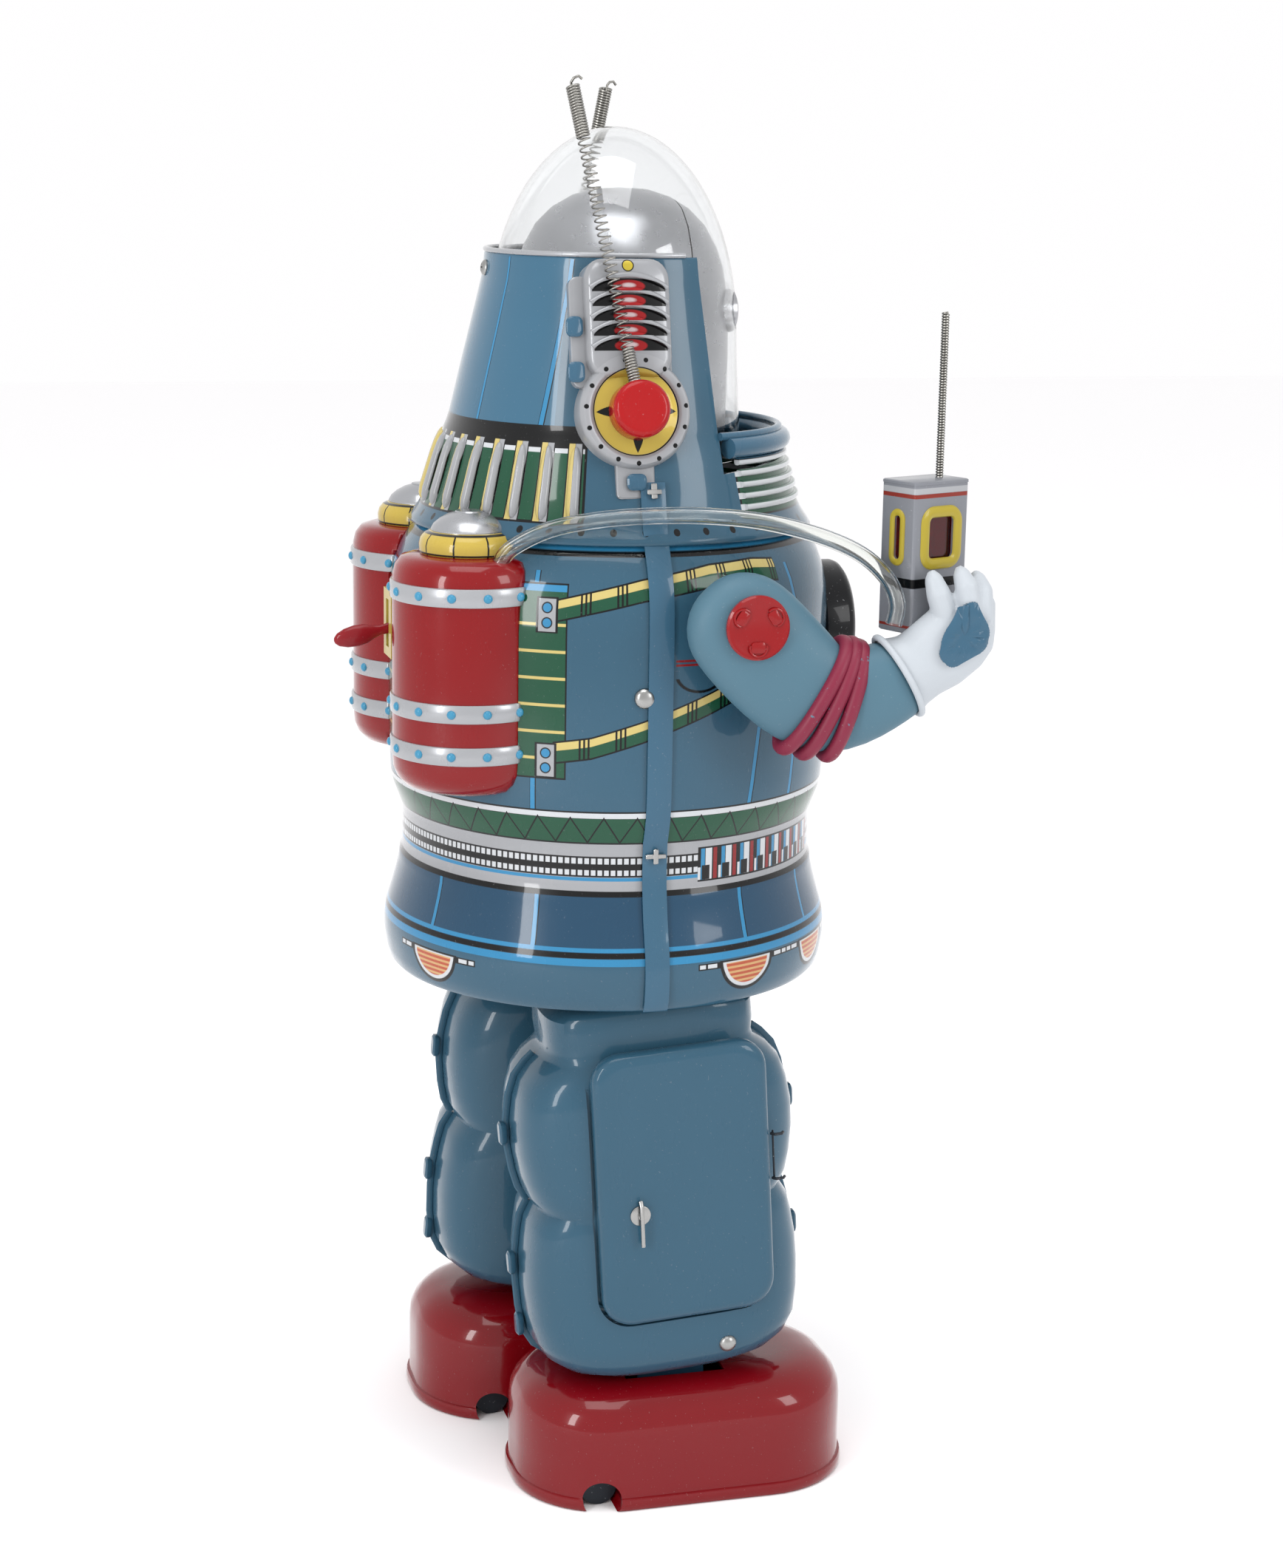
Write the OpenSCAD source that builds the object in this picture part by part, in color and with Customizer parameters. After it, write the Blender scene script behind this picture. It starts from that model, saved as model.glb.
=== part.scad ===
// Walking tin robot: battery legs, air tanks, domed head, radio in the right hand.
// The robot faces -Y and its right side is -X. The origin is on the floor under the body.

/* [Body] */
// radius of the barrel
torso_r = 50.8; // [46:0.1:56]
// radius of the waist under the belt
waist_r = 48; // [42:0.1:52]
// widest radius of the skirt
skirt_r = 52.2; // [48:0.1:58]
// height of the skirt's lower edge
skirt_z = 120.5; // [115:0.5:124]
// height of the shoulder top
shoulder_z = 224; // [215:0.5:230]
// thickness of the sheet metal
tin = 0.8; // [0.4:0.1:1.2]

/* [Head] */
// radius of the cowl at its lower end
cowl_low_r = 37.4; // [34:0.1:42]
// radius of the cowl at its open top
cowl_top_r = 29.2; // [26:0.1:34]
// height of the cowl's top edge
cowl_top_z = 284.6; // [275:0.5:295]
// height of the clear dome's tip
dome_z = 312.5; // [300:0.5:325]
// radius of the clear dome
dome_r = 28.4; // [24:0.1:29]
// distance of the ear disc in front of or behind the middle
ear_y = 4.5; // [0:0.5:8]
// height of the ear disc
ear_z = 251.7; // [245:0.5:260]
// how far the ears lean in with the cowl
ear_lean = 13; // [0:1:20]
// length of an ear antenna from the knob's centre
antenna_len = 72; // [50:1:90]
// how far the right antenna leans to the rear
antenna_lean_r = 11.5; // [-40:0.5:40]
// how far the left antenna leans to the rear
antenna_lean_l = -6.5; // [-40:0.5:40]

/* [Legs] */
// distance of each leg's middle from the body's middle
leg_x = 26.5; // [24:0.5:30]
// width of a leg
leg_w = 42; // [36:0.5:46]
// depth of a leg
leg_d = 67; // [60:0.5:72]
// how far each leg stands swung from the upright, right one forward
stride = 3.75; // [0:0.25:6]
// width of a foot
foot_w = 50; // [44:0.5:51]
// length of a foot
foot_l = 80.6; // [70:0.2:90]
// height of a foot's top
foot_h = 28; // [24:0.5:34]

/* [Arms] */
// height of the shoulder pin
arm_z = 208.9; // [200:0.1:215]
// distance of the shoulder pin in front of the middle
arm_y = -15.7; // [-22:0.1:-10]
// how far the left arm hangs lower than the right one
left_arm_drop = 12; // [0:1:40]
// width of the hand radio's broad face
radio_w = 16; // [12:0.5:20]
// thickness of the hand radio
radio_d = 10.5; // [8:0.5:14]
// height of the hand radio
radio_h = 33; // [26:0.5:40]

/* [Tanks] */
// radius of an air tank
tank_r = 17; // [12:0.5:20]
// distance of a tank's axis from the middle, sideways
tank_x = 25.5; // [20:0.5:30]
// distance of a tank's axis behind the middle
tank_y = 38.4; // [34:0.2:44]

/* [Hidden] */
$fn = 96;
running = 0.05;

body_blue = [0.24, 0.42, 0.52];
pale_blue = [0.36, 0.56, 0.68];
deep_red = [0.62, 0.08, 0.08];
signal_red = [0.80, 0.12, 0.10];
silver = [0.78, 0.80, 0.82];
dark = [0.14, 0.15, 0.17];
yellow = [0.93, 0.80, 0.28];
white_vinyl = [0.86, 0.92, 0.96];
clear = [0.85, 0.90, 0.95, 0.3];
brass = [0.75, 0.60, 0.30];

hip_y = -1.5;
hip_z = 126;
ankle_z = 20.2;
ankle_reach = (hip_z - ankle_z) * tan(stride);
ankle_y_r = hip_y - ankle_reach;
ankle_y_l = hip_y + ankle_reach;
foot_shift = -3.7;
leg_top_z = 117;
leg_mid_z = 71;
leg_low_z = 31;
knee_overlap = 4;
leg_corner = 15;
door_w = 41;
door_h = 65;
door_y = -2.6;
door_z = 78;
sole_t = 3.2;
base_z = 122.4;
gauge_z = 198.2;
switch_z = 201;
tank_low_z = 168;
tank_high_z = 220.5;
arm_in_x = 52.4;
arm_out_x = 65;
gear_y = hip_y;
gear_z = 152;
wheel_teeth = 36;
pinion_teeth = 12;
frame_x = 6.4;
strap_x = 16.2;
strap_foot_z = 37;
hinge_x = -leg_w / 2 - 0.9;
hinge_y = door_y - door_w / 2 - 0.1;
hinge_pin_r = 0.7;
gear_gap = (wheel_teeth + pinion_teeth) / 2 + 0.2;
radio_turn = 23.3;
radio_c = [-56, -56.2, 206];

// the air hose's route from the right tank to the right wrist
hose_r = 1.85;
hose_route = [
    [-37.6, 34.2, 219.8], [-38.6, 31.6, 223.2], [-41.5, 24, 227.4], [-45.3, 14, 229.8], [-49.5, 3, 231], [-53, -8, 231.2],
    [-55, -20, 230], [-57, -32, 227], [-59, -41, 223], [-62, -46, 218], [-64, -47.6, 213], [-64, -47, 208.5]
];

// outlines of revolution, radius then height, from the bottom up
body_outline = [
    [skirt_r - 2, skirt_z], [skirt_r - 0.6, skirt_z + 3], [skirt_r, skirt_z + 7.5], [skirt_r - 0.4, skirt_z + 13],
    [waist_r + 0.4, 147], [waist_r, 149], [waist_r, 158], [torso_r - 1.4, 161], [torso_r, 166],
    [torso_r, 206], [torso_r - 0.4, 211], [torso_r - 1.8, 216], [torso_r - 3.8, 220.4],
    [torso_r - 6.4, shoulder_z + 0.2], [40, shoulder_z + 0.9]
];
cowl_outline = [
    [45.2, shoulder_z + 1.1], [43.4, 228.4], [39, 243], [38, 245.4], [cowl_low_r, 247], [29.7, 279.3], [cowl_top_r, cowl_top_z]
];
strip_outline = concat(
    [for (p = body_outline) if (p[1] < 221) p],
    [[45.5, shoulder_z + 1.3], [43.6, 228.6], [41.6, 234.6]]
);
head_outline = [
    [24.6, 238], [25, 268], [24.3, 277], [22.4, 285], [19, 291], [14, 295.5], [8, 298.2], [0, 299]
];

// ---- shared shapes ----

function reversed(list) = [for (i = [len(list) - 1 : -1 : 0]) list[i]];

// the same outline moved out or in along the radius, and down where it faces up
function moved(outline, by) = [for (p = outline) [max(p[0] + by, 0), p[1] + (p[1] > 212 ? min(by, 0) : 0)]];

module ring_wall(outline, inner, outer, angle = 360, start = 0) {
    rotate([0, 0, start])
        rotate_extrude(angle = angle)
            polygon(concat(moved(outline, outer), reversed(moved(outline, inner))));
}

module solid_of(outline, by, low, high) {
    rotate_extrude()
        polygon(concat([[0, low]], [for (p = outline) [p[0] + by, p[1]]], [[0, high]]));
}

module along_x(r, x0, x1) {
    translate([x0, 0, 0])
        rotate([0, 90, 0])
            cylinder(r = r, h = x1 - x0);
}

module rounded_box(size, r) {
    translate([-size[0] / 2, -size[1] / 2, 0])
        linear_extrude(size[2])
            rounded_square([size[0], size[1]], r);
}

module rounded_square(size, r) {
    for (x = [r, size[0] - r], y = [r, size[1] - r])
        translate([x, y])
            circle(r = r);
    translate([r, 0])
        square([size[0] - 2 * r, size[1]]);
    translate([0, r])
        square([size[0], size[1] - 2 * r]);
}

// ---- torso ----

module shoulder_hole(side) {
    translate([0, arm_y, arm_z])
        along_x(3 + running, side * 49 - 6, side * 49 + 6);
}

module torso_front() {
    color(body_blue)
        difference() {
            union() {
                ring_wall(body_outline, -tin, 0, 180, 180);
                rolled_edge(180);
            }
            shoulder_hole(1);
            shoulder_hole(-1);
            for (side = [-1, 1])
                translate([0, -5, 194])
                    along_x(3.4, side * 49 - 6, side * 49 + 6);
            translate([0, -40, gauge_z])
                rotate([90, 0, 0])
                    cylinder(r = 9, h = 20);
        }
}

module rolled_edge(start) {
    rotate([0, 0, start])
        rotate_extrude(angle = 180)
            translate([skirt_r - 3.1, skirt_z])
                circle(r = 1);
}

module torso_rear() {
    color(body_blue)
        difference() {
            union() {
                ring_wall(body_outline, -tin, 0, 180, 0);
                rolled_edge(0);
            }
            translate([-3, 40, switch_z - 7])
                cube([6, 20, 14]);
        }
}

module side_strip(side) {
    strip_w = 6;
    angle = strip_w / torso_r * 180 / PI;
    middle = side > 0 ? 1.5 : 180 - 1.5;
    color(body_blue)
        ring_wall(strip_outline, 0.12, 0.7, angle, middle - angle / 2);
}

module side_strip_R() {
    side_strip(-1);
}

module side_strip_L() {
    side_strip(1);
}

module base_plate() {
    color(dark)
        difference() {
            translate([0, 0, base_z])
                cylinder(r = skirt_r - 1.9, h = 1.2);
            for (side = [-1, 1])
                translate([side * (leg_x - strap_x) - 2.5, hip_y - 9, base_z - 1])
                    cube([5, 18, 4]);
        }
}

// two upright plates that hold the hip shaft, the crank shaft and the motor
module mech_frame() {
    foot_z = base_z + 1.25;
    color(silver)
        difference() {
            union() {
                for (x = [-frame_x - 1.2, frame_x])
                    translate([x, -16, foot_z])
                        cube([1.2, 56, 46]);
                translate([-frame_x, 38.8, foot_z])
                    cube([2 * frame_x, 1.2, 46]);
                translate([-frame_x, -16, foot_z])
                    cube([2 * frame_x, 56, 0.8]);
                translate([0, hip_y, hip_z])
                    along_x(2, -14, 14);
                for (x = [-14, 12.8])
                    translate([0, hip_y, hip_z])
                        along_x(3.2, x, x + 1.2);
            }
            translate([0, gear_y, gear_z])
                along_x(1.5 + running, -20, 20);
            translate([0, gear_y + gear_gap, gear_z])
                along_x(1.6, -20, 0);
        }
}

module motor() {
    color(silver)
        translate([0, gear_y + gear_gap, gear_z])
            difference() {
                along_x(11, -24, -frame_x - 1.25);
                along_x(1 + running, -20, 1);
            }
}

module gear(teeth, width) {
    pitch_r = teeth / 2;
    half = 0.62;
    linear_extrude(width)
        union() {
            circle(r = pitch_r - 1.15);
            for (i = [0 : teeth - 1])
                rotate([0, 0, i * 360 / teeth])
                    polygon([
                        [pitch_r - 1.6, -half - 0.3], [pitch_r, -half], [pitch_r + 0.7, -half + 0.3],
                        [pitch_r + 0.7, half - 0.3], [pitch_r, half], [pitch_r - 1.6, half + 0.3]
                    ]);
        }
}

module motor_pinion() {
    color(brass)
        translate([0, gear_y + gear_gap, gear_z])
            union() {
                along_x(1, -18, -0.5);
                translate([-5.5, 0, 0])
                    rotate([0, 90, 0])
                        rotate([0, 0, 90 + 180 / pinion_teeth])
                            gear(pinion_teeth, 5);
            }
}

module crank_wheel() {
    color(brass)
        translate([0, gear_y, gear_z])
            union() {
                along_x(1.5, -16, 16);
                translate([-5, 0, 0])
                    rotate([0, 90, 0])
                        rotate([0, 0, 90])
                            gear(wheel_teeth, 4);
                for (side = [-1, 1])
                    rotate([side * 90, 0, 0])
                        union() {
                            along_x(4, side * 15 - 1, side * 15 + 1);
                            translate([0, 5, 0])
                                along_x(1.2, side * 16.5 - 2, side * 16.5 + 2);
                            translate([side * 15 - 1, 0, -1.6])
                                cube([2, 6.6, 3.2]);
                        }
            }
}

// ---- chest gauge ----

module gauge_bezel() {
    color(dark)
        difference() {
            translate([0, -46, gauge_z])
                rotate([90, 0, 0])
                    rotate_extrude()
                        polygon([[0, 3], [12.2, 3], [12.2, 8.6], [13.4, 8.6], [15, 7.2], [15, 0], [0, 0]]);
            solid_of(body_outline, 0.05, skirt_z, shoulder_z);
        }
}

module gauge_lens() {
    color(clear)
        translate([0, -49.1, gauge_z])
            rotate([90, 0, 0])
                rotate_extrude()
                    polygon(concat(
                        [for (a = [0 : 10 : 90]) [12.1 * cos(a), 3.6 + 5.8 * sin(a)]],
                        [for (a = [90 : -10 : 0]) [11.1 * cos(a), 3.0 + 5.2 * sin(a)]],
                        [[11.1, 1.9], [12.1, 1.9]]
                    ));
}

// ---- air tanks and switch ----

// a tank's plan: a half round outside and straight side walls that run to the body
module tank_plan(r) {
    circle(r = r, $fn = 48);
    translate([-r, -12])
        square([2 * r, 12]);
}

module tank_solid(r, low, high, round_r) {
    hull()
        for (a = [0 : 30 : 90], end = [0, 1])
            translate([0, 0, end > 0 ? high - round_r + round_r * sin(a) - 0.02 : low + round_r - round_r * sin(a)])
                linear_extrude(0.02)
                    tank_plan(r - round_r + round_r * cos(a));
}

module at_tank(side) {
    translate([side * tank_x, tank_y, 0])
        rotate([0, 0, -side * atan2(tank_x, tank_y)])
            children();
}

module tank(side) {
    color(deep_red)
        difference() {
            at_tank(side)
                union() {
                    tank_solid(tank_r, tank_low_z, tank_high_z, 5);
                    for (z = [175, 184.6, 210])
                        translate([0, 0, z - 2])
                            linear_extrude(4)
                                tank_plan(tank_r + 0.4);
                }
            at_tank(side)
                tank_solid(tank_r - tin, tank_low_z + tin, tank_high_z - tin, 4.4);
            solid_of(body_outline, 0.05, skirt_z, shoulder_z);
            solid_of(cowl_outline, 0.1, 222, cowl_top_z);
        }
}

module tank_R() {
    tank(-1);
}

module tank_L() {
    tank(1);
}

module tank_cap(side) {
    cap_r = 11;
    z = tank_high_z + 0.05;
    color(yellow)
        difference() {
            at_tank(side)
                translate([0, 0, z])
                    rotate_extrude()
                        polygon([
                            [0, 0], [cap_r, 0], [cap_r, 3], [cap_r - 1.6, 4.8], [8, 5.2],
                            [7, 7], [5, 8.4], [2.5, 9.1], [0, 9.3]
                        ]);
            solid_of(cowl_outline, 0.1, 218, cowl_top_z);
            solid_of(body_outline, 0.05, skirt_z, shoulder_z);
            translate([0, 0, shoulder_z])
                cylinder(r = 45.4, h = 2);
        }
}

module tank_cap_R() {
    tank_cap(-1);
}

module tank_cap_L() {
    tank_cap(1);
}

module switch_plate() {
    color(yellow)
        translate([0, torso_r + 0.05, switch_z])
            difference() {
                translate([-4.5, 0, -7.7])
                    cube([9, 1.2, 15.4]);
                translate([-1.6, -1, -5.5])
                    cube([3.2, 4, 11]);
            }
}

module switch_lever() {
    color(signal_red)
        translate([0, 46, switch_z])
            rotate([-12, 0, 0])
                union() {
                    along_x(2, -1.2, 1.2);
                    translate([-1.2, 0, 0])
                        rotate([0, 90, 0])
                            linear_extrude(2.4)
                                polygon([
                                    [-1.2, 0], [1.2, 0], [1.3, 8], [2.2, 11], [2.0, 15], [0.9, 18.6],
                                    [-0.9, 18.6], [-2.0, 15], [-2.2, 11], [-1.3, 8]
                                ]);
                }
}

// ---- head ----

module head_cowl() {
    color(body_blue)
        difference() {
            ring_wall(cowl_outline, -tin, 0);
            translate([-60, -60, 241.5])
                rotate([-6, 0, 0])
                    cube([120, 47.5, 80]);
            translate([0, 0, cowl_top_z - 3.6])
                rotate([-90, 0, 0])
                    cylinder(r = 0.9, h = 40);
            for (side = [-1, 1])
                at_ear(side)
                    along_x(2.3, -10, 10);
        }
}

module clear_dome() {
    wall = 1;
    middle_z = 267;
    rise = dome_z - middle_z;
    color(clear)
        rotate_extrude()
            polygon(concat(
                [[dome_r + 2.2, 238.4], [dome_r + 1.4, 243], [dome_r + 0.5, 255]],
                [for (a = [0 : 10 : 90]) [dome_r * cos(a), middle_z + rise * sin(a)]],
                [for (a = [90 : -10 : 0]) [(dome_r - wall) * cos(a), middle_z + (rise - wall) * sin(a)]],
                [[dome_r - wall + 0.5, 255], [dome_r - wall + 1.4, 243], [dome_r - wall + 2.2, 238.4]]
            ));
}

module head_body(front) {
    middle_y = -1.6;
    seam_y = -13;
    intersection() {
        translate([0, middle_y, 0])
            ring_wall(head_outline, -tin, 0);
        if (front)
            translate([-40, seam_y - 40, 230])
                cube([80, 40 - 0.05, 80]);
        else
            translate([-40, seam_y + 0.05, 230])
                cube([80, 80, 80]);
    }
}

module head_shell() {
    color(silver)
        head_body(false);
}

module head_face() {
    color(silver)
        difference() {
            head_body(true);
            for (side = [-1, 1])
                translate([side * 8.5, 0, 272])
                    rotate([90, 0, 0])
                        cylinder(r = 3.6, h = 40);
            for (i = [0 : 2])
                translate([-7, -40, 253 + i * 3])
                    cube([14, 40, 1.4]);
        }
}

module head_lamp() {
    color(clear)
        translate([0, 0, 240])
            union() {
                cylinder(r = 5, h = 14);
                translate([0, 0, 18])
                    sphere(r = 5.5);
            }
}

module cowl_screw() {
    z = cowl_top_z - 3.6;
    color(silver)
        translate([0, 0, z])
            rotate([-90, 0, 0])
                union() {
                    translate([0, 0, 27.9])
                        cylinder(r = 0.8, h = 2.5);
                    translate([0, 0, 29.9])
                        cylinder(r = 1.7, h = 1.1);
                }
}

// ---- ears ----

module at_ear(side) {
    mirror([side > 0 ? 1 : 0, 0, 0])
        translate([-36.4, ear_y, ear_z])
            rotate([0, ear_lean, 0])
                children();
}

// the housing's outline seen from the side, y then z
module ear_outline() {
    translate([-8.2, 0])
        square([18.4, 27]);
    translate([1, 24])
        circle(r = 9.2);
    circle(r = 12.8);
    translate([-4.5, -16.5])
        square([9, 12]);
}

module ear(side) {
    color(silver)
        difference() {
            at_ear(side)
                difference() {
                    union() {
                        rotate([90, 0, -90])
                            linear_extrude(1.6)
                                mirror([1, 0])
                                    ear_outline();
                        translate([-1.6, -7.2, 9])
                            rotate([90, 0, -90])
                                mirror([1, 0, 0])
                                    rounded_prism([16.4, 23, 2.4], 5);
                        along_x(11.4, -2.8, 0);
                    }
                    along_x(2 + running, -10, 10);
                    for (i = [0 : 4])
                        translate([-6.2, -5.2, 14 + i * 3.6])
                            rotate([0, -35, 0])
                                cube([3.2, 12.4, 1.1]);
                }
            solid_of(cowl_outline, 0.05, 222, cowl_top_z + 20);
        }
}

module rounded_prism(size, r) {
    linear_extrude(size[2])
        rounded_square([size[0], size[1]], r);
}

module ear_R() {
    ear(-1);
}

module ear_L() {
    ear(1);
}

module ear_knob(side) {
    color(signal_red)
        at_ear(side)
            union() {
                along_x(6.3, -8.8, -3.1);
                along_x(2, -3.2, 3.4);
            }
}

module ear_knob_R() {
    ear_knob(-1);
}

module ear_knob_L() {
    ear_knob(1);
}

// an open spring, drawn as a rod with one ridge for each turn
module open_coil(z0, z1) {
    turns = 30;
    pitch = (z1 - z0) / turns;
    rotate_extrude($fn = 32)
        polygon(concat(
            [[0, z0]],
            [for (i = [0 : turns - 1]) each [[0.8, z0 + i * pitch], [1.3, z0 + (i + 0.5) * pitch]]],
            [[0.8, z1], [0, z1]]
        ));
}

module antenna(side, lean) {
    color(silver)
        at_ear(side)
            translate([-6, 0, 0])
                rotate([-lean, 0, 0])
                    union() {
                        translate([0, 0, 6.35])
                            cylinder(r = 1.4, h = 7.4);
                        open_coil(13.7, antenna_len - 12.9);
                        translate([0, 0, antenna_len - 13])
                            cylinder(r = 1.5, h = 11.5);
                        translate([-0.3, -0.3, antenna_len - 1.6])
                            cube([0.6, 0.6, 1.6]);
                        translate([-0.3, -2.2, antenna_len - 0.3])
                            cube([0.6, 2.5, 0.6]);
                    }
}

module antenna_R() {
    antenna(-1, antenna_lean_r);
}

module antenna_L() {
    antenna(1, antenna_lean_l);
}

// ---- arms ----

// places the right arm's shapes, or mirrors and lowers them for the left one
module at_arm(side) {
    if (side < 0)
        children();
    else
        translate([0, arm_y, arm_z])
            rotate([left_arm_drop, 0, 0])
                translate([0, -arm_y, -arm_z])
                    mirror([1, 0, 0])
                        children();
}

module flat_ball(x, y, z, r, half) {
    translate([x, y, z])
        intersection() {
            sphere(r = r, $fn = 32);
            cube([2 * half, 4 * r, 4 * r], center = true);
        }
}

module arm(side) {
    mid_x = -(arm_in_x + arm_out_x) / 2;
    half = (arm_out_x - arm_in_x) / 2;
    color(pale_blue)
        difference() {
            at_arm(side)
                union() {
                    hull() {
                        flat_ball(mid_x, arm_y + 1, arm_z - 1.6, 12.6, half);
                        flat_ball(mid_x, -27, 194, 12.6, half);
                    }
                    hull() {
                        flat_ball(mid_x, -27, 194, 12.6, half);
                        flat_ball(mid_x - 0.6, -36, 190.4, 12.2, half);
                    }
                    hull() {
                        flat_ball(mid_x - 0.6, -36, 190.4, 12.2, half);
                        flat_ball(mid_x - 2.5, -47.5, 195.6, 9.6, 8);
                    }
                }
            at_arm(side)
                translate([0, arm_y, arm_z])
                    along_x(3, -80, -40);
            at_arm(side)
                wrist_cut();
        }
}

// everything beyond the wrist belongs to the glove
module wrist_cut() {
    translate([-62, -49, 196.6])
        rotate([-30, 0, 0])
            translate([-20, -40, -20])
                cube([40, 40, 40]);
}

module arm_R() {
    arm(-1);
}

module arm_L() {
    arm(1);
}

module shoulder_disc(side) {
    color(deep_red)
        at_arm(side)
            translate([0, arm_y, arm_z])
                union() {
                    along_x(7, -arm_out_x - 1.4, -arm_out_x - 0.05);
                    along_x(2.95, -arm_out_x - 0.2, -44);
                    along_x(4.6, -45, -43.8);
                }
}

module shoulder_disc_R() {
    shoulder_disc(-1);
}

module shoulder_disc_L() {
    shoulder_disc(1);
}

module finger(from, to, r) {
    hull() {
        translate(from)
            sphere(r = r, $fn = 20);
        translate(to)
            sphere(r = r * 0.85, $fn = 20);
    }
}

module glove(side) {
    color(white_vinyl)
        difference() {
            at_arm(side)
                union() {
                    hull() {
                        translate([-62.5, -50.4, 197.4])
                            rotate([60, 0, 0])
                                cylinder(r = 8.6, h = 2, center = true, $fn = 32);
                        translate([-66.5, -57, 203])
                            sphere(r = 5.6, $fn = 32);
                        translate([-66, -62, 206])
                            sphere(r = 5, $fn = 32);
                    }
                    finger([-67, -60, 206], [-67, -55, 219.4], 2.7);
                    finger([-68, -62, 208], [-68, -60.5, 220.6], 2.7);
                    finger([-67.5, -64, 207], [-66.4, -64.8, 219.6], 2.6);
                }
            if (side < 0)
                radio_solid(0.1);
            at_arm(side)
                translate([0, 0, 0.01])
                    wrist_keep();
        }
}

module wrist_keep() {
    translate([-62, -49, 196.6])
        rotate([-30, 0, 0])
            translate([-20, -0.05, -20])
                cube([40, 40, 40]);
}

module glove_R() {
    glove(-1);
}

module glove_L() {
    glove(1);
}

// ---- hand radio ----

module at_radio() {
    translate(radio_c)
        rotate([0, 0, radio_turn])
            children();
}

module radio_solid(gap) {
    at_radio()
        translate([-radio_d / 2 - gap, -radio_w / 2 - gap, -gap])
            cube([radio_d + 2 * gap, radio_w + 2 * gap, radio_h + 2 * gap]);
}

module radio_box() {
    color(silver)
        difference() {
            radio_solid(0);
            at_radio()
                union() {
                    translate([-radio_d / 2 - 1, -4, 15.8])
                        cube([2, 8, 9.6]);
                    translate([-1, radio_w / 2 - 1, 15])
                        cube([2, 2, 11]);
                    translate([0, -4, radio_h - 3])
                        cylinder(r = 0.8, h = 5);
                }
        }
}

module radio_windows() {
    color(signal_red)
        at_radio()
            union() {
                translate([-radio_d / 2 - 0.6, -6.5, 13.8])
                    difference() {
                        cube([0.55, 13, 13.6]);
                        translate([-1, 2.6, 2.1])
                            cube([3, 7.8, 9.4]);
                    }
                translate([-radio_d / 2 - 0.6, -3.95, 15.85])
                    cube([1.5, 7.9, 9.5]);
                translate([-2.4, radio_w / 2 + 0.05, 13.8])
                    cube([4.8, 0.5, 13.6]);
            }
}

module radio_antenna() {
    color(silver)
        at_radio()
            translate([0, -4, radio_h - 2.9])
                cylinder(r = 0.8, h = 37.9);
}

// ---- air hose ----

hose_sides = 10;
hose_cuts = 4;

// a smooth curve through the route's points
function route_at(pts, t) = let(
    n = len(pts) - 1,
    i = min(floor(t), n - 1),
    u = t - i,
    a = pts[max(i - 1, 0)],
    b = pts[i],
    c = pts[i + 1],
    d = pts[min(i + 2, n)]
) 0.5 * (2 * b + (c - a) * u + (2 * a - 5 * b + 4 * c - d) * u * u + (3 * b - a - 3 * c + d) * u * u * u);

function unit(v) = v / norm(v);

function hose_ring(pts, t) = let(
    p = route_at(pts, t),
    e = 0.01,
    dir = unit(route_at(pts, min(t + e, len(pts) - 1)) - route_at(pts, max(t - e, 0))),
    side = unit(cross(dir, [1, 0, 0.2])),
    up = cross(dir, side)
) [for (k = [0 : hose_sides - 1]) let(a = 360 * k / hose_sides) p + hose_r * (cos(a) * side + sin(a) * up)];

module air_hose() {
    last = (len(hose_route) - 1) * hose_cuts;
    color(clear)
        polyhedron(
            points = [for (i = [0 : last]) each hose_ring(hose_route, i / hose_cuts)],
            faces = concat(
                [[for (k = [0 : hose_sides - 1]) k]],
                [for (i = [0 : last - 1], k = [0 : hose_sides - 1])
                    [i * hose_sides + k, (i + 1) * hose_sides + k,
                     (i + 1) * hose_sides + (k + 1) % hose_sides, i * hose_sides + (k + 1) % hose_sides]],
                [[for (k = [hose_sides - 1 : -1 : 0]) last * hose_sides + k]]
            )
        );
}

// ---- legs ----

// a leg is drawn upright and then swung about the hip
module at_leg(side) {
    translate([side * leg_x, hip_y, hip_z])
        rotate([side < 0 ? -stride : stride, 0, 0])
            translate([0, 0, -hip_z])
                children();
}

// one bulge of a leg's outer half: full depth at the seam, rounded towards the side
module bulge(low, high, inset) {
    deep = leg_d - 2 * inset;
    tall = high - low - 2 * inset;
    wide = leg_w / 2 - inset;
    edge_r = 11 - inset;
    intersection() {
        translate([-wide, -deep / 2, low + inset])
            rotate([90, 0, 90])
                linear_extrude(wide - 0.05 + 2 * inset)
                    rounded_square([deep, tall], leg_corner - inset);
        translate([-wide, -deep / 2, low - 1])
            linear_extrude(high - low + 2)
                rounded_square([2 * wide, deep], edge_r);
        translate([-wide, leg_d, low + inset])
            rotate([90, 0, 0])
                linear_extrude(2 * leg_d)
                    rounded_square([2 * wide, tall], edge_r);
    }
}

module leg_half_solid(inset) {
    bulge(leg_mid_z - knee_overlap, leg_top_z, inset);
    bulge(leg_low_z, leg_mid_z + knee_overlap, inset);
}

module leg_half_shell() {
    difference() {
        union() {
            leg_half_solid(0);
            leg_flange();
        }
        leg_half_solid(tin);
        translate([-12.5, -9.5, leg_low_z - 5])
            cube([25, 19, 12]);
    }
}

// the seam lip round the leg's edge
module leg_flange() {
    for (zone = [[leg_low_z, leg_mid_z + 1], [leg_mid_z - 1, leg_top_z]])
        translate([-0.6, -leg_d / 2 - 1.3, zone[0] - 1.2])
            rotate([90, 0, 90])
                linear_extrude(0.55)
                    rounded_square([leg_d + 2.6, zone[1] - zone[0] + 2.4], leg_corner + 1);
}

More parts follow.
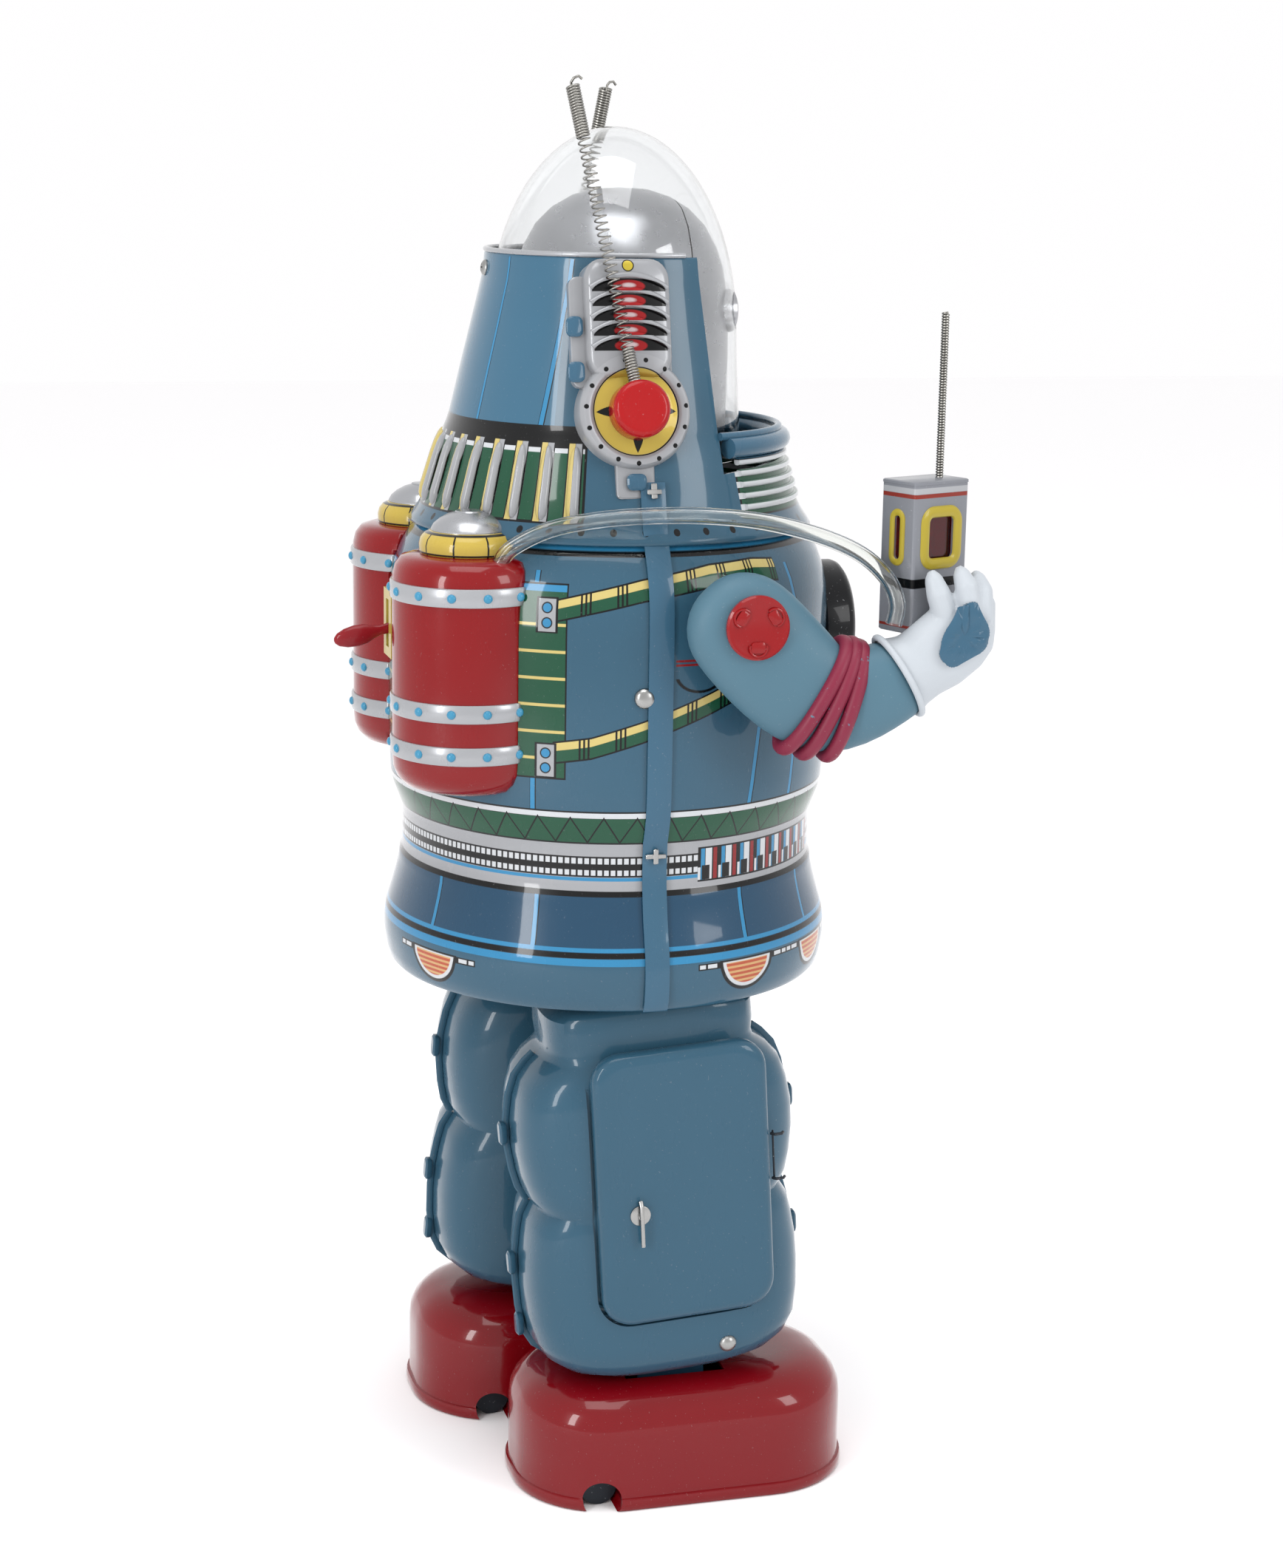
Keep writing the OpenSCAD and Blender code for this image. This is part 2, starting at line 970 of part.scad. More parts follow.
// flat pad that carries the battery door on the outer half
module door_pad(grow, x0, x1) {
    translate([x0, door_y - door_w / 2 - grow, door_z - door_h / 2 - grow])
        rotate([90, 0, 90])
            linear_extrude(x1 - x0)
                rounded_square([door_w + 2 * grow, door_h + 2 * grow], 7 + grow);
}

// two lugs on the leg that the door's hinge pin turns in
module hinge_lugs() {
    for (z = [70, 84])
        difference() {
            translate([hinge_x - 1, hinge_y - 1.5, z])
                cube([2.2, 1.4, 1.4]);
            translate([hinge_x, hinge_y, z - 1])
                cylinder(r = hinge_pin_r + running, h = 4);
        }
}

module leg_outer(side) {
    color(body_blue)
        at_leg(side)
            mirror([side > 0 ? 1 : 0, 0, 0])
                difference() {
                    union() {
                        leg_half_shell();
                        door_pad(2.4, -leg_w / 2 + 0.1, -leg_w / 2 + 3);
                        hinge_lugs();
                        translate([-leg_w / 2 + 0.5, -14.6, 38.4])
                            sphere(r = 2);
                    }
                    door_pad(0.5, -leg_w, -leg_w / 2 + 2.4);
                    door_pad(-2.5, -leg_w, -leg_w / 2 + 8);
                }
}

module leg_outer_R() {
    leg_outer(-1);
}

module leg_outer_L() {
    leg_outer(1);
}

module leg_inner(side) {
    color(body_blue)
        at_leg(side)
            mirror([side > 0 ? 0 : 1, 0, 0])
                difference() {
                    leg_half_shell();
                    translate([-strap_x - 2.5, -8, leg_top_z - 12])
                        cube([5, 16, 20]);
                }
}

module leg_inner_R() {
    leg_inner(-1);
}

module leg_inner_L() {
    leg_inner(1);
}

// strap from the hip lug down the leg's inner side to the ankle block and its pin
module leg_strap(side) {
    color(dark)
        at_leg(side)
            mirror([side > 0 ? 0 : 1, 0, 0])
                difference() {
                    union() {
                        translate([-strap_x - 1, -5, strap_foot_z])
                            cube([2, 10, hip_z - strap_foot_z]);
                        translate([0, 0, hip_z])
                            along_x(5, -strap_x - 1, -strap_x + 1);
                        translate([-strap_x - 1, -8, strap_foot_z])
                            cube([strap_x + 12, 16, 2]);
                        translate([-11, -8, 23.4])
                            cube([22, 16, strap_foot_z - 23]);
                        translate([-3, -4, ankle_z - 0.7])
                            cube([6, 8, 5]);
                        translate([0, 0, ankle_z - 0.2])
                            along_x(2, -14, 14);
                    }
                    translate([0, 0, hip_z])
                        along_x(2 + running, -30, 0);
                }
}

module leg_strap_R() {
    leg_strap(-1);
}

module leg_strap_L() {
    leg_strap(1);
}

module door(side) {
    color(body_blue)
        at_leg(side)
            mirror([side > 0 ? 1 : 0, 0, 0])
                difference() {
                    union() {
                        door_pad(0, -leg_w / 2 - 1.1, -leg_w / 2 + 0.9);
                        translate([hinge_x, hinge_y, 69.6])
                            cylinder(r = hinge_pin_r, h = 16.2);
                    }
                    translate([0, 8.5, 72.5])
                        along_x(0.8 + running, -30, 0);
                }
}

module door_R() {
    door(-1);
}

module door_L() {
    door(1);
}

module door_latch(side) {
    color(silver)
        at_leg(side)
            mirror([side > 0 ? 1 : 0, 0, 0])
                translate([-leg_w / 2 - 1.15, 8.5, 72.5])
                    union() {
                        along_x(2.4, -0.7, 0);
                        along_x(0.8, -0.7, 3.2);
                        translate([-1.5, -0.5, -7.4])
                            cube([0.9, 1, 10.4]);
                        translate([2.2, -1, -1])
                            cube([0.8, 2, 2]);
                    }
}

module door_latch_R() {
    door_latch(-1);
}

module door_latch_L() {
    door_latch(1);
}

module battery(side) {
    color(dark)
        at_leg(side)
            translate([side, 0, 44])
                union() {
                    cylinder(r = 16, h = 58);
                    translate([0, 0, 58])
                        cylinder(r = 4.5, h = 2);
                }
}

module battery_R() {
    battery(-1);
}

module battery_L() {
    battery(1);
}

// ---- feet ----

function foot_y(side) = (side < 0 ? ankle_y_r : ankle_y_l) + foot_shift;

module at_foot(side) {
    translate([side * leg_x, foot_y(side), 0])
        children();
}

module foot_solid(inset) {
    w = foot_w / 2 - 0.8 - inset;
    l = foot_l / 2 - 0.8 - inset;
    corner = 21.5;
    top_r = 8;
    hull() {
        for (x = [-1, 1], y = [-1, 1])
            translate([x * (w + inset - corner), y * (l + inset - corner), 0])
                union() {
                    translate([0, 0, sole_t])
                        cylinder(r = corner - inset, h = foot_h - top_r - sole_t, $fn = 40);
                    for (a = [30, 60, 90])
                        translate([0, 0, foot_h - top_r])
                            cylinder(
                                r = corner - inset - top_r + top_r * cos(a),
                                h = (top_r - inset) * sin(a), $fn = 40
                            );
                }
    }
}

module foot_shell(side) {
    color(deep_red)
        at_foot(side)
            difference() {
                foot_solid(0);
                translate([0, 0, -1])
                    foot_solid(tin + 0.4);
                translate([-14, -foot_shift - 12.5, foot_h - 6])
                    cube([28, 25, 12]);
                for (x = [-1, 1])
                    translate([0, 23.5, sole_t])
                        along_x(4, x * foot_w / 2 - 5, x * foot_w / 2 + 5);
            }
}

module foot_shell_R() {
    foot_shell(-1);
}

module foot_shell_L() {
    foot_shell(1);
}

module foot_sole(side) {
    color(deep_red)
        at_foot(side)
            difference() {
                union() {
                    rounded_box([foot_w, foot_l, sole_t - 0.05], 22.3);
                    for (x = [-13, 11.6])
                        translate([x, -foot_shift - 4, 0])
                            cube([1.4, 8, ankle_z + 3]);
                    for (x = [-14, 12.6])
                        translate([x, 21, 0])
                            cube([1.4, 5, 7]);
                }
                translate([0, -foot_shift, ankle_z])
                    along_x(2 + running, -20, 20);
                translate([0, 23.5, 4.3])
                    along_x(1.2 + running, -20, 20);
                for (x = [-20.4, 15.2])
                    translate([x, 18.6, -1])
                        cube([5.2, 9.8, 10]);
            }
}

module foot_sole_R() {
    foot_sole(-1);
}

module foot_sole_L() {
    foot_sole(1);
}

module foot_roller(side) {
    color(silver)
        at_foot(side)
            translate([0, 23.5, 4.3])
                union() {
                    along_x(1.2, -18, 18);
                    for (x = [-19.6, 16])
                        along_x(4.2, x, x + 3.6);
                }
}

module foot_roller_R() {
    foot_roller(-1);
}

module foot_roller_L() {
    foot_roller(1);
}

torso_front();
torso_rear();
side_strip_R();
side_strip_L();
base_plate();
mech_frame();
motor();
motor_pinion();
crank_wheel();
gauge_bezel();
gauge_lens();
tank_R();
tank_L();
tank_cap_R();
tank_cap_L();
switch_plate();
switch_lever();
head_cowl();
clear_dome();
head_shell();
head_face();
head_lamp();
cowl_screw();
ear_R();
ear_L();
ear_knob_R();
ear_knob_L();
antenna_R();
antenna_L();
arm_R();
arm_L();
shoulder_disc_R();
shoulder_disc_L();
glove_R();
glove_L();
radio_box();
radio_windows();
radio_antenna();
air_hose();
leg_outer_R();
leg_outer_L();
leg_inner_R();
leg_inner_L();
leg_strap_R();
leg_strap_L();
door_R();
door_L();
door_latch_R();
door_latch_L();
battery_R();
battery_L();
foot_shell_R();
foot_shell_L();
foot_sole_R();
foot_sole_L();
foot_roller_R();
foot_roller_L();
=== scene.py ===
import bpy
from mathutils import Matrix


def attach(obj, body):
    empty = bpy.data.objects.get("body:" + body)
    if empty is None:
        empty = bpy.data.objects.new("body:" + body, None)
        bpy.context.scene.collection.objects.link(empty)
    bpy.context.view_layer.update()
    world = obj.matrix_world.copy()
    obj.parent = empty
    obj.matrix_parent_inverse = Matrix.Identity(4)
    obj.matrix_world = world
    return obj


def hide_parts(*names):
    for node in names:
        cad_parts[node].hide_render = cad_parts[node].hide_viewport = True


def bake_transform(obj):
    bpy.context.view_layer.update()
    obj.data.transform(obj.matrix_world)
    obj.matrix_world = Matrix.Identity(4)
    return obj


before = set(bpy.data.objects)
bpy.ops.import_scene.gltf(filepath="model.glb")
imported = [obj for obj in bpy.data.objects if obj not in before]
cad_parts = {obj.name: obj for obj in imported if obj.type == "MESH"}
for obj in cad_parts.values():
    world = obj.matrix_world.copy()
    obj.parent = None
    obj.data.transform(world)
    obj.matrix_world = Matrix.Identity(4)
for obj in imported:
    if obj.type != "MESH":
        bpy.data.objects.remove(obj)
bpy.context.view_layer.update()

from math import atan2, cos, pi, radians, sin

import bmesh
import bpy
from mathutils import Matrix, Vector

# ---- The table, the camera and the studio lights ----
# The toy stands on a plain white table. Soft boxes stand to the left, to the right and overhead; the left
# one is a narrow strip and gives the long bright streaks that glossy tinplate shows.
MM = 0.001
TOY = Vector((0, 0, 0.155))


def pick(*pieces):
    """Selects only these pieces, and makes the last one active."""
    for other in list(bpy.context.selected_objects):
        other.select_set(False)
    for piece in pieces:
        piece.select_set(True)
    if pieces:
        bpy.context.view_layer.objects.active = pieces[-1]


pick()
bpy.ops.object.camera_add(location=(-0.63715, 0.16765, 0.31016))
camera = bpy.context.object
camera.name = "studio_camera"
heading, pitch, roll = radians(-105.483), radians(12.75), radians(0.983)
ahead = Vector((-sin(heading) * cos(pitch), cos(heading) * cos(pitch), -sin(pitch)))
side = Vector((cos(heading), sin(heading), 0))
upward = side.cross(ahead)
right = cos(roll) * side + sin(roll) * upward
top = -sin(roll) * side + cos(roll) * upward
camera.matrix_world = Matrix.Translation(camera.location) @ Matrix((right, top, -ahead)).transposed().to_4x4()
camera.data.sensor_fit = "HORIZONTAL"
camera.data.sensor_width = 36
camera.data.lens = 80.22
camera.data.clip_start = 0.02
bpy.context.scene.camera = camera

pick()
bpy.ops.mesh.primitive_plane_add(size=6)
table = bpy.context.object
table.name = "table_top"
bpy.ops.object.mode_set(mode="EDIT")
bpy.ops.mesh.subdivide(number_cuts=3)
bpy.ops.object.mode_set(mode="OBJECT")
table_paint = bpy.data.materials.new("table_white")
table_paint.use_nodes = True
table_paint.node_tree.nodes["Principled BSDF"].inputs["Base Color"].default_value = (0.98, 0.975, 0.98, 1)
table_paint.node_tree.nodes["Principled BSDF"].inputs["Roughness"].default_value = 0.75
table.data.materials.append(table_paint)

room = bpy.data.worlds.new("studio_room")
room.use_nodes = True
room.node_tree.nodes["Background"].inputs["Color"].default_value = (1.0, 0.995, 1.0, 1)
room.node_tree.nodes["Background"].inputs["Strength"].default_value = 1.0
bpy.context.scene.world = room


def soft_box(name, place, aim, width, height, power):
    """A rectangular studio light at place, turned to shine at aim."""
    bpy.ops.object.light_add(type="AREA", location=place)
    lamp = bpy.context.object
    lamp.name = name
    lamp.rotation_euler = (Vector(aim) - Vector(place)).to_track_quat("-Z", "Y").to_euler()
    lamp.data.shape = "RECTANGLE"
    lamp.data.size = width
    lamp.data.size_y = height
    lamp.data.energy = power
    return lamp


soft_box("box_left", (-0.55, 0.75, 0.42), TOY, 0.14, 0.55, 3.5)
soft_box("box_right", (-0.75, -0.65, 0.55), TOY, 0.3, 0.45, 3)
soft_box("box_overhead", (-0.25, 0.1, 1.1), TOY, 0.6, 0.6, 4)
bpy.context.scene.view_settings.view_transform = "Standard"

# ---- Body shell ----
# Two half barrels of thin sheet, a front and a rear one, pressed to shape with a belt, a flared skirt and a
# rolled hem. They are printed flat in many colours, varnished, and held together by the side strips.
TIN = 0.8
SHELL = [
    (50.2, 120.5), (51.1, 121.6), (51.7, 124), (52.2, 128), (52.1, 131.4), (51.7, 133.6), (50.6, 137),
    (49.4, 141.4), (48.7, 144.6), (48.5, 146.4), (48.0, 147.4), (47.9, 149.2), (47.9, 157), (48.3, 158.2),
    (49.3, 160.8), (50.2, 163.4), (50.65, 166), (50.8, 170), (50.8, 188), (50.8, 205), (50.45, 210.6),
    (49.5, 214.8),
    (48.1, 218.4), (46.2, 221.6), (44.4, 223.8), (42, 224.7), (40, 224.9)
]


def drawn_up(name, outline, sides=128, across=(0, 0)):
    """A turned form: a circle drawn up ring by ring. A point of the outline is (radius, height)."""
    pick()
    radius, height = outline[0]
    bpy.ops.mesh.primitive_circle_add(
        vertices=sides, radius=max(radius, 1e-3) * MM, location=(across[0] * MM, across[1] * MM, height * MM)
    )
    piece = bpy.context.object
    piece.name = piece.data.name = name
    bpy.ops.object.mode_set(mode="EDIT")
    radius = max(radius, 1e-3)
    for wider, higher in outline[1:]:
        wider = max(wider, 1e-3)
        bpy.ops.mesh.extrude_region_move(TRANSFORM_OT_translate={"value": (0, 0, (higher - height) * MM)})
        bpy.ops.transform.resize(
            value=(wider / radius, wider / radius, 1),
            center_override=(across[0] * MM, across[1] * MM, higher * MM)
        )
        radius, height = wider, higher
    close_up(piece)
    return piece


def close_up(piece, keep_edge=35):
    """Merges doubles, turns the faces outwards, puts the piece's place into its mesh and smooths it."""
    pick(piece)
    bpy.ops.object.mode_set(mode="EDIT")
    bpy.ops.mesh.select_all(action="SELECT")
    bpy.ops.mesh.remove_doubles(threshold=5e-6)
    bpy.ops.mesh.normals_make_consistent(inside=False)
    bpy.ops.object.mode_set(mode="OBJECT")
    bpy.ops.object.transform_apply(location=True, rotation=True, scale=True)
    bpy.ops.object.shade_smooth_by_angle(angle=radians(keep_edge))


def copy_of(piece, name):
    """A copy with its own mesh."""
    twin = piece.copy()
    twin.data = piece.data.copy()
    twin.name = twin.data.name = name
    bpy.context.collection.objects.link(twin)
    return twin


def trim(piece, at, facing, fill=True):
    """Cuts away what lies on the side that facing points to."""
    pick(piece)
    bpy.ops.object.mode_set(mode="EDIT")
    bpy.ops.mesh.select_all(action="SELECT")
    bpy.ops.mesh.bisect(
        plane_co=tuple(v * MM for v in at), plane_no=facing, clear_outer=True, use_fill=fill, threshold=1e-7
    )
    bpy.ops.object.mode_set(mode="OBJECT")


def modify(piece, kind, **values):
    """Adds a modifier with these values and applies it."""
    pick(piece)
    step = piece.modifiers.new(kind.lower(), kind)
    for key, value in values.items():
        setattr(step, key, value)
    bpy.ops.object.modifier_apply(modifier=step.name)


def cut_with(piece, cutter):
    """Cuts a closed tool out of the piece, and throws the tool away."""
    modify(piece, "BOOLEAN", object=cutter, operation="DIFFERENCE", solver="EXACT")
    bpy.data.objects.remove(cutter)


DEPTH = 0.6


def enamel(red, green, blue):
    """A paint colour from 0 to 255 values, held down by DEPTH because the studio lights are bright."""
    return tuple(DEPTH * (value / 255) ** 2.2 for value in (red, green, blue)) + (1,)


def calc(tree, how, first, second=0.0):
    """One sum. Each side is a number or another sum."""
    step = tree.nodes.new("ShaderNodeMath")
    step.operation = how
    for socket, value in zip(step.inputs, (first, second)):
        if isinstance(value, (int, float)):
            socket.default_value = value
        else:
            tree.links.new(value, socket)
    return step.outputs[0]


def ramp(tree, value, start, end):
    """0 before start and 1 after end."""
    step = tree.nodes.new("ShaderNodeMapRange")
    tree.links.new(value, step.inputs["Value"])
    step.inputs["From Min"].default_value = start
    step.inputs["From Max"].default_value = end
    return step.outputs["Result"]


def band(tree, value, low, high, soft=0.1):
    """1 between low and high."""
    rise = ramp(tree, value, low - soft / 2, low + soft / 2)
    fall = ramp(tree, value, high + soft / 2, high - soft / 2)
    return calc(tree, "MULTIPLY", rise, fall)


def both(tree, *masks):
    """1 where every mask is 1."""
    result = masks[0]
    for mask in masks[1:]:
        result = calc(tree, "MULTIPLY", result, mask)
    return result


def either(tree, *masks):
    """1 where any mask is 1."""
    result = masks[0]
    for mask in masks[1:]:
        result = calc(tree, "MAXIMUM", result, mask)
    return result


def over(tree, below, mask, ink):
    """Prints ink over the colour below where the mask is 1."""
    step = tree.nodes.new("ShaderNodeMix")
    step.data_type = "RGBA"
    tree.links.new(mask, step.inputs["Factor"])
    for socket, colour in ((step.inputs[6], below), (step.inputs[7], ink)):
        if isinstance(colour, tuple):
            socket.default_value = colour
        else:
            tree.links.new(colour, socket)
    return step.outputs[2]


def oval(tree, across, up, wide, tall):
    """Below 1 inside the oval."""
    sides = [
        calc(tree, "POWER", calc(tree, "DIVIDE", way, size), 2.0)
        for way, size in ((across, wide), (up, tall))
    ]
    return calc(tree, "ADD", *sides)


def oval_mask(tree, across, up, radius):
    """1 inside a round spot."""
    return ramp(tree, oval(tree, across, up, radius, radius), 1.08, 0.92)


def position(tree):
    """x, y and z on the piece in millimetres."""
    place = tree.nodes.new("ShaderNodeTexCoord")
    apart = tree.nodes.new("ShaderNodeSeparateXYZ")
    tree.links.new(place.outputs["Object"], apart.inputs[0])
    return [calc(tree, "MULTIPLY", apart.outputs[axis], 1000.0) for axis in range(3)]


def round_body(tree):
    """Degrees round the body from the middle of its front to the middle of its back, and the height."""
    x, y, z = position(tree)
    turn = calc(tree, "ARCTAN2", calc(tree, "ABSOLUTE", x), calc(tree, "MULTIPLY", y, -1.0))
    return calc(tree, "MULTIPLY", turn, 180 / pi), z


def noise(tree, size, detail=2.0, stretch=(1, 1, 1)):
    """Random patches of about this size in millimetres."""
    place = tree.nodes.new("ShaderNodeTexCoord")
    map_node = tree.nodes.new("ShaderNodeMapping")
    map_node.inputs["Scale"].default_value = stretch
    patch = tree.nodes.new("ShaderNodeTexNoise")
    patch.inputs["Scale"].default_value = 1000 / size
    patch.inputs["Detail"].default_value = detail
    tree.links.new(place.outputs["Object"], map_node.inputs["Vector"])
    tree.links.new(map_node.outputs["Vector"], patch.inputs["Vector"])
    return patch.outputs["Fac"]


def handled_group():
    """Years of handling on paint: uneven colour, finger marks in the gloss, dust and a faint ripple."""
    group = bpy.data.node_groups.new("handled_paint", "ShaderNodeTree")
    face = group.interface
    face.new_socket("Colour", in_out="INPUT", socket_type="NodeSocketColor")
    for name, usual in (("Fade", 0.1), ("Roughness", 0.2), ("Smudge", 0.12), ("Dust", 0.25), ("Ripple", 0.5)):
        face.new_socket(name, in_out="INPUT", socket_type="NodeSocketFloat").default_value = usual
    face.new_socket("Colour", in_out="OUTPUT", socket_type="NodeSocketColor")
    face.new_socket("Roughness", in_out="OUTPUT", socket_type="NodeSocketFloat")
    face.new_socket("Height", in_out="OUTPUT", socket_type="NodeSocketFloat")
    come = group.nodes.new("NodeGroupInput")
    leave = group.nodes.new("NodeGroupOutput")
    patches = noise(group, 26, 4)
    marks = noise(group, 5, 5, (1, 1, 0.4))
    specks = noise(group, 0.55, 1)
    waves = noise(group, 9, 1)
    shade = calc(
        group, "ADD", 1.0,
        calc(group, "MULTIPLY", calc(group, "SUBTRACT", patches, 0.5), come.outputs["Fade"])
    )
    tone = group.nodes.new("ShaderNodeMix")
    tone.data_type = "RGBA"
    tone.blend_type = "MULTIPLY"
    tone.inputs["Factor"].default_value = 1
    grey = group.nodes.new("ShaderNodeCombineColor")
    for socket in grey.inputs[:3]:
        group.links.new(shade, socket)
    group.links.new(come.outputs["Colour"], tone.inputs[6])
    group.links.new(grey.outputs[0], tone.inputs[7])
    dusty = calc(group, "MULTIPLY", ramp(group, specks, 0.72, 0.78), come.outputs["Dust"])
    group.links.new(over(group, tone.outputs[2], dusty, enamel(205, 208, 210)), leave.inputs["Colour"])
    worn = calc(group, "MULTIPLY", ramp(group, marks, 0.4, 0.75), come.outputs["Smudge"])
    group.links.new(calc(group, "ADD", come.outputs["Roughness"], worn), leave.inputs["Roughness"])
    group.links.new(
        calc(
            group, "ADD", calc(group, "MULTIPLY", waves, come.outputs["Ripple"]),
            calc(group, "MULTIPLY", specks, 0.02)
        ),
        leave.inputs["Height"]
    )
    return group


handled_paint = handled_group()


def finish(
    name, colour, rough=0.25, metal=0.0, coat=0.0, fade=0.12, smudge=0.12, dust=0.2, ripple=0.4, bump=0.15
):
    """A handled finish. colour is a paint, or a function that draws a print in the material's tree."""
    material = bpy.data.materials.new(name)
    material.use_nodes = True
    tree = material.node_tree
    shader = tree.nodes["Principled BSDF"]
    marks = tree.nodes.new("ShaderNodeGroup")
    marks.node_tree = handled_paint
    for key, value in (
        ("Fade", fade), ("Roughness", rough), ("Smudge", smudge), ("Dust", dust), ("Ripple", ripple)
    ):
        marks.inputs[key].default_value = value
    if callable(colour):
        tree.links.new(colour(tree), marks.inputs["Colour"])
    else:
        marks.inputs["Colour"].default_value = colour
    tree.links.new(marks.outputs["Colour"], shader.inputs["Base Color"])
    tree.links.new(marks.outputs["Roughness"], shader.inputs["Roughness"])
    relief = tree.nodes.new("ShaderNodeBump")
    relief.inputs["Strength"].default_value = bump
    relief.inputs["Distance"].default_value = 0.0006
    tree.links.new(marks.outputs["Height"], relief.inputs["Height"])
    tree.links.new(relief.outputs["Normal"], shader.inputs["Normal"])
    shader.inputs["Metallic"].default_value = metal
    shader.inputs["Coat Weight"].default_value = coat
    shader.inputs["Coat Roughness"].default_value = 0.05
    shader.inputs["Coat IOR"].default_value = 1.32
    shader.inputs["Specular IOR Level"].default_value = 0.12 if coat else 0.3
    return material


def coat_in(piece, material):
    """Gives the whole piece one finish, a CAD node through its slots."""
    if piece.material_slots:
        for slot in piece.material_slots:
            slot.material = material
    else:
        piece.data.materials.append(material)


BODY_BLUE = enamel(62, 101, 124)
DEEP_BLUE = enamel(42, 80, 108)
LINE_BLUE = enamel(60, 146, 196)
INK = enamel(14, 15, 17)
PRINT_GREEN = enamel(34, 88, 64)
PRINT_YELLOW = enamel(226, 205, 128)
PRINT_RED = enamel(150, 38, 40)
PRINT_SILVER = enamel(176, 178, 182)
PRINT_WHITE = enamel(224, 228, 232)


def upright_lines(tree, turn, z, below, places, low, high, width=0.9):
    """Bright blue upright lines with a thin dark edge, at these degrees."""
    for place in places:
        inside = band(tree, z, low, high)
        below = over(
            tree, below, both(tree, band(tree, turn, place - width * 0.9, place + width * 0.9), inside), INK
        )
        below = over(
            tree, below, both(tree, band(tree, turn, place - width * 0.55, place + width * 0.75), inside),
            LINE_BLUE
        )
    return below


def curve_of(tree, value, points):
    """A height that follows value through the points, between 0 and 360 on both axes."""
    step = tree.nodes.new("ShaderNodeFloatCurve")
    curve = step.mapping.curves[0]
    for x, y in points:
        curve.points.new(x / 360, y / 360)
    curve.points[0].location = (0, points[0][1] / 360)
    curve.points[len(curve.points) - 1].location = (1, points[-1][1] / 360)
    for point in curve.points:
        point.handle_type = "VECTOR"
    step.mapping.update()
    tree.links.new(calc(tree, "MULTIPLY", value, 1 / 360), step.inputs["Value"])
    return calc(tree, "MULTIPLY", step.outputs["Value"], 360.0)


def harness(tree, turn, z, below, points, start, end):
    """A printed webbing strap, yellow above and green below, crossed by pairs of stitched lines."""
    off = calc(tree, "SUBTRACT", z, curve_of(tree, turn, points))
    length = band(tree, turn, start, end)
    below = over(tree, below, both(tree, band(tree, off, -2.5, 2.5), length), INK)
    below = over(tree, below, both(tree, band(tree, off, -2.1, 0.4), length), PRINT_GREEN)
    below = over(tree, below, both(tree, band(tree, off, 0.4, 2.1), length), PRINT_YELLOW)
    step = calc(tree, "MODULO", turn, 9.0)
    bars = either(tree, *(band(tree, step, place - 0.25, place + 0.25) for place in (1, 2.1, 3.2)))
    return over(tree, below, both(tree, bars, band(tree, off, -2.3, 2.3), length), INK)


def half_lamp(tree, turn, z, below, centre, flat):
    """A printed running lamp: half round striped glass in a white and black rim, a bar on each side."""
    far = oval(tree, calc(tree, "SUBTRACT", turn, centre), calc(tree, "SUBTRACT", z, flat), 8.6, 7.6)
    under = ramp(tree, z, flat + 0.1, flat)
    bars = either(
        tree, band(tree, turn, centre - 14.6, centre - 8), band(tree, turn, centre + 8, centre + 14.6)
    )
    below = over(tree, below, both(tree, bars, band(tree, z, flat - 1.6, flat - 0.1)), INK)
    bars = either(
        tree, band(tree, turn, centre - 12, centre - 9.4), band(tree, turn, centre + 9.4, centre + 12),
        band(tree, turn, centre - 14.2, centre - 12.6), band(tree, turn, centre + 12.6, centre + 14.2)
    )
    below = over(tree, below, both(tree, bars, band(tree, z, flat - 1.3, flat - 0.4)), PRINT_WHITE)
    below = over(tree, below, both(tree, ramp(tree, far, 1.03, 0.98), under), INK)
    below = over(
        tree, below, both(tree, ramp(tree, far, 0.82, 0.78), under, ramp(tree, z, flat - 0.3, flat - 0.5)),
        PRINT_WHITE
    )
    stripes = over(
        tree, enamel(196, 92, 62),
        band(tree, calc(tree, "MODULO", calc(tree, "SUBTRACT", z, 100.0), 1.15), 0.1, 0.62),
        enamel(226, 178, 120)
    )
    return over(
        tree, below, both(tree, ramp(tree, far, 0.64, 0.6), ramp(tree, z, flat - 0.6, flat - 0.8)), stripes
    )


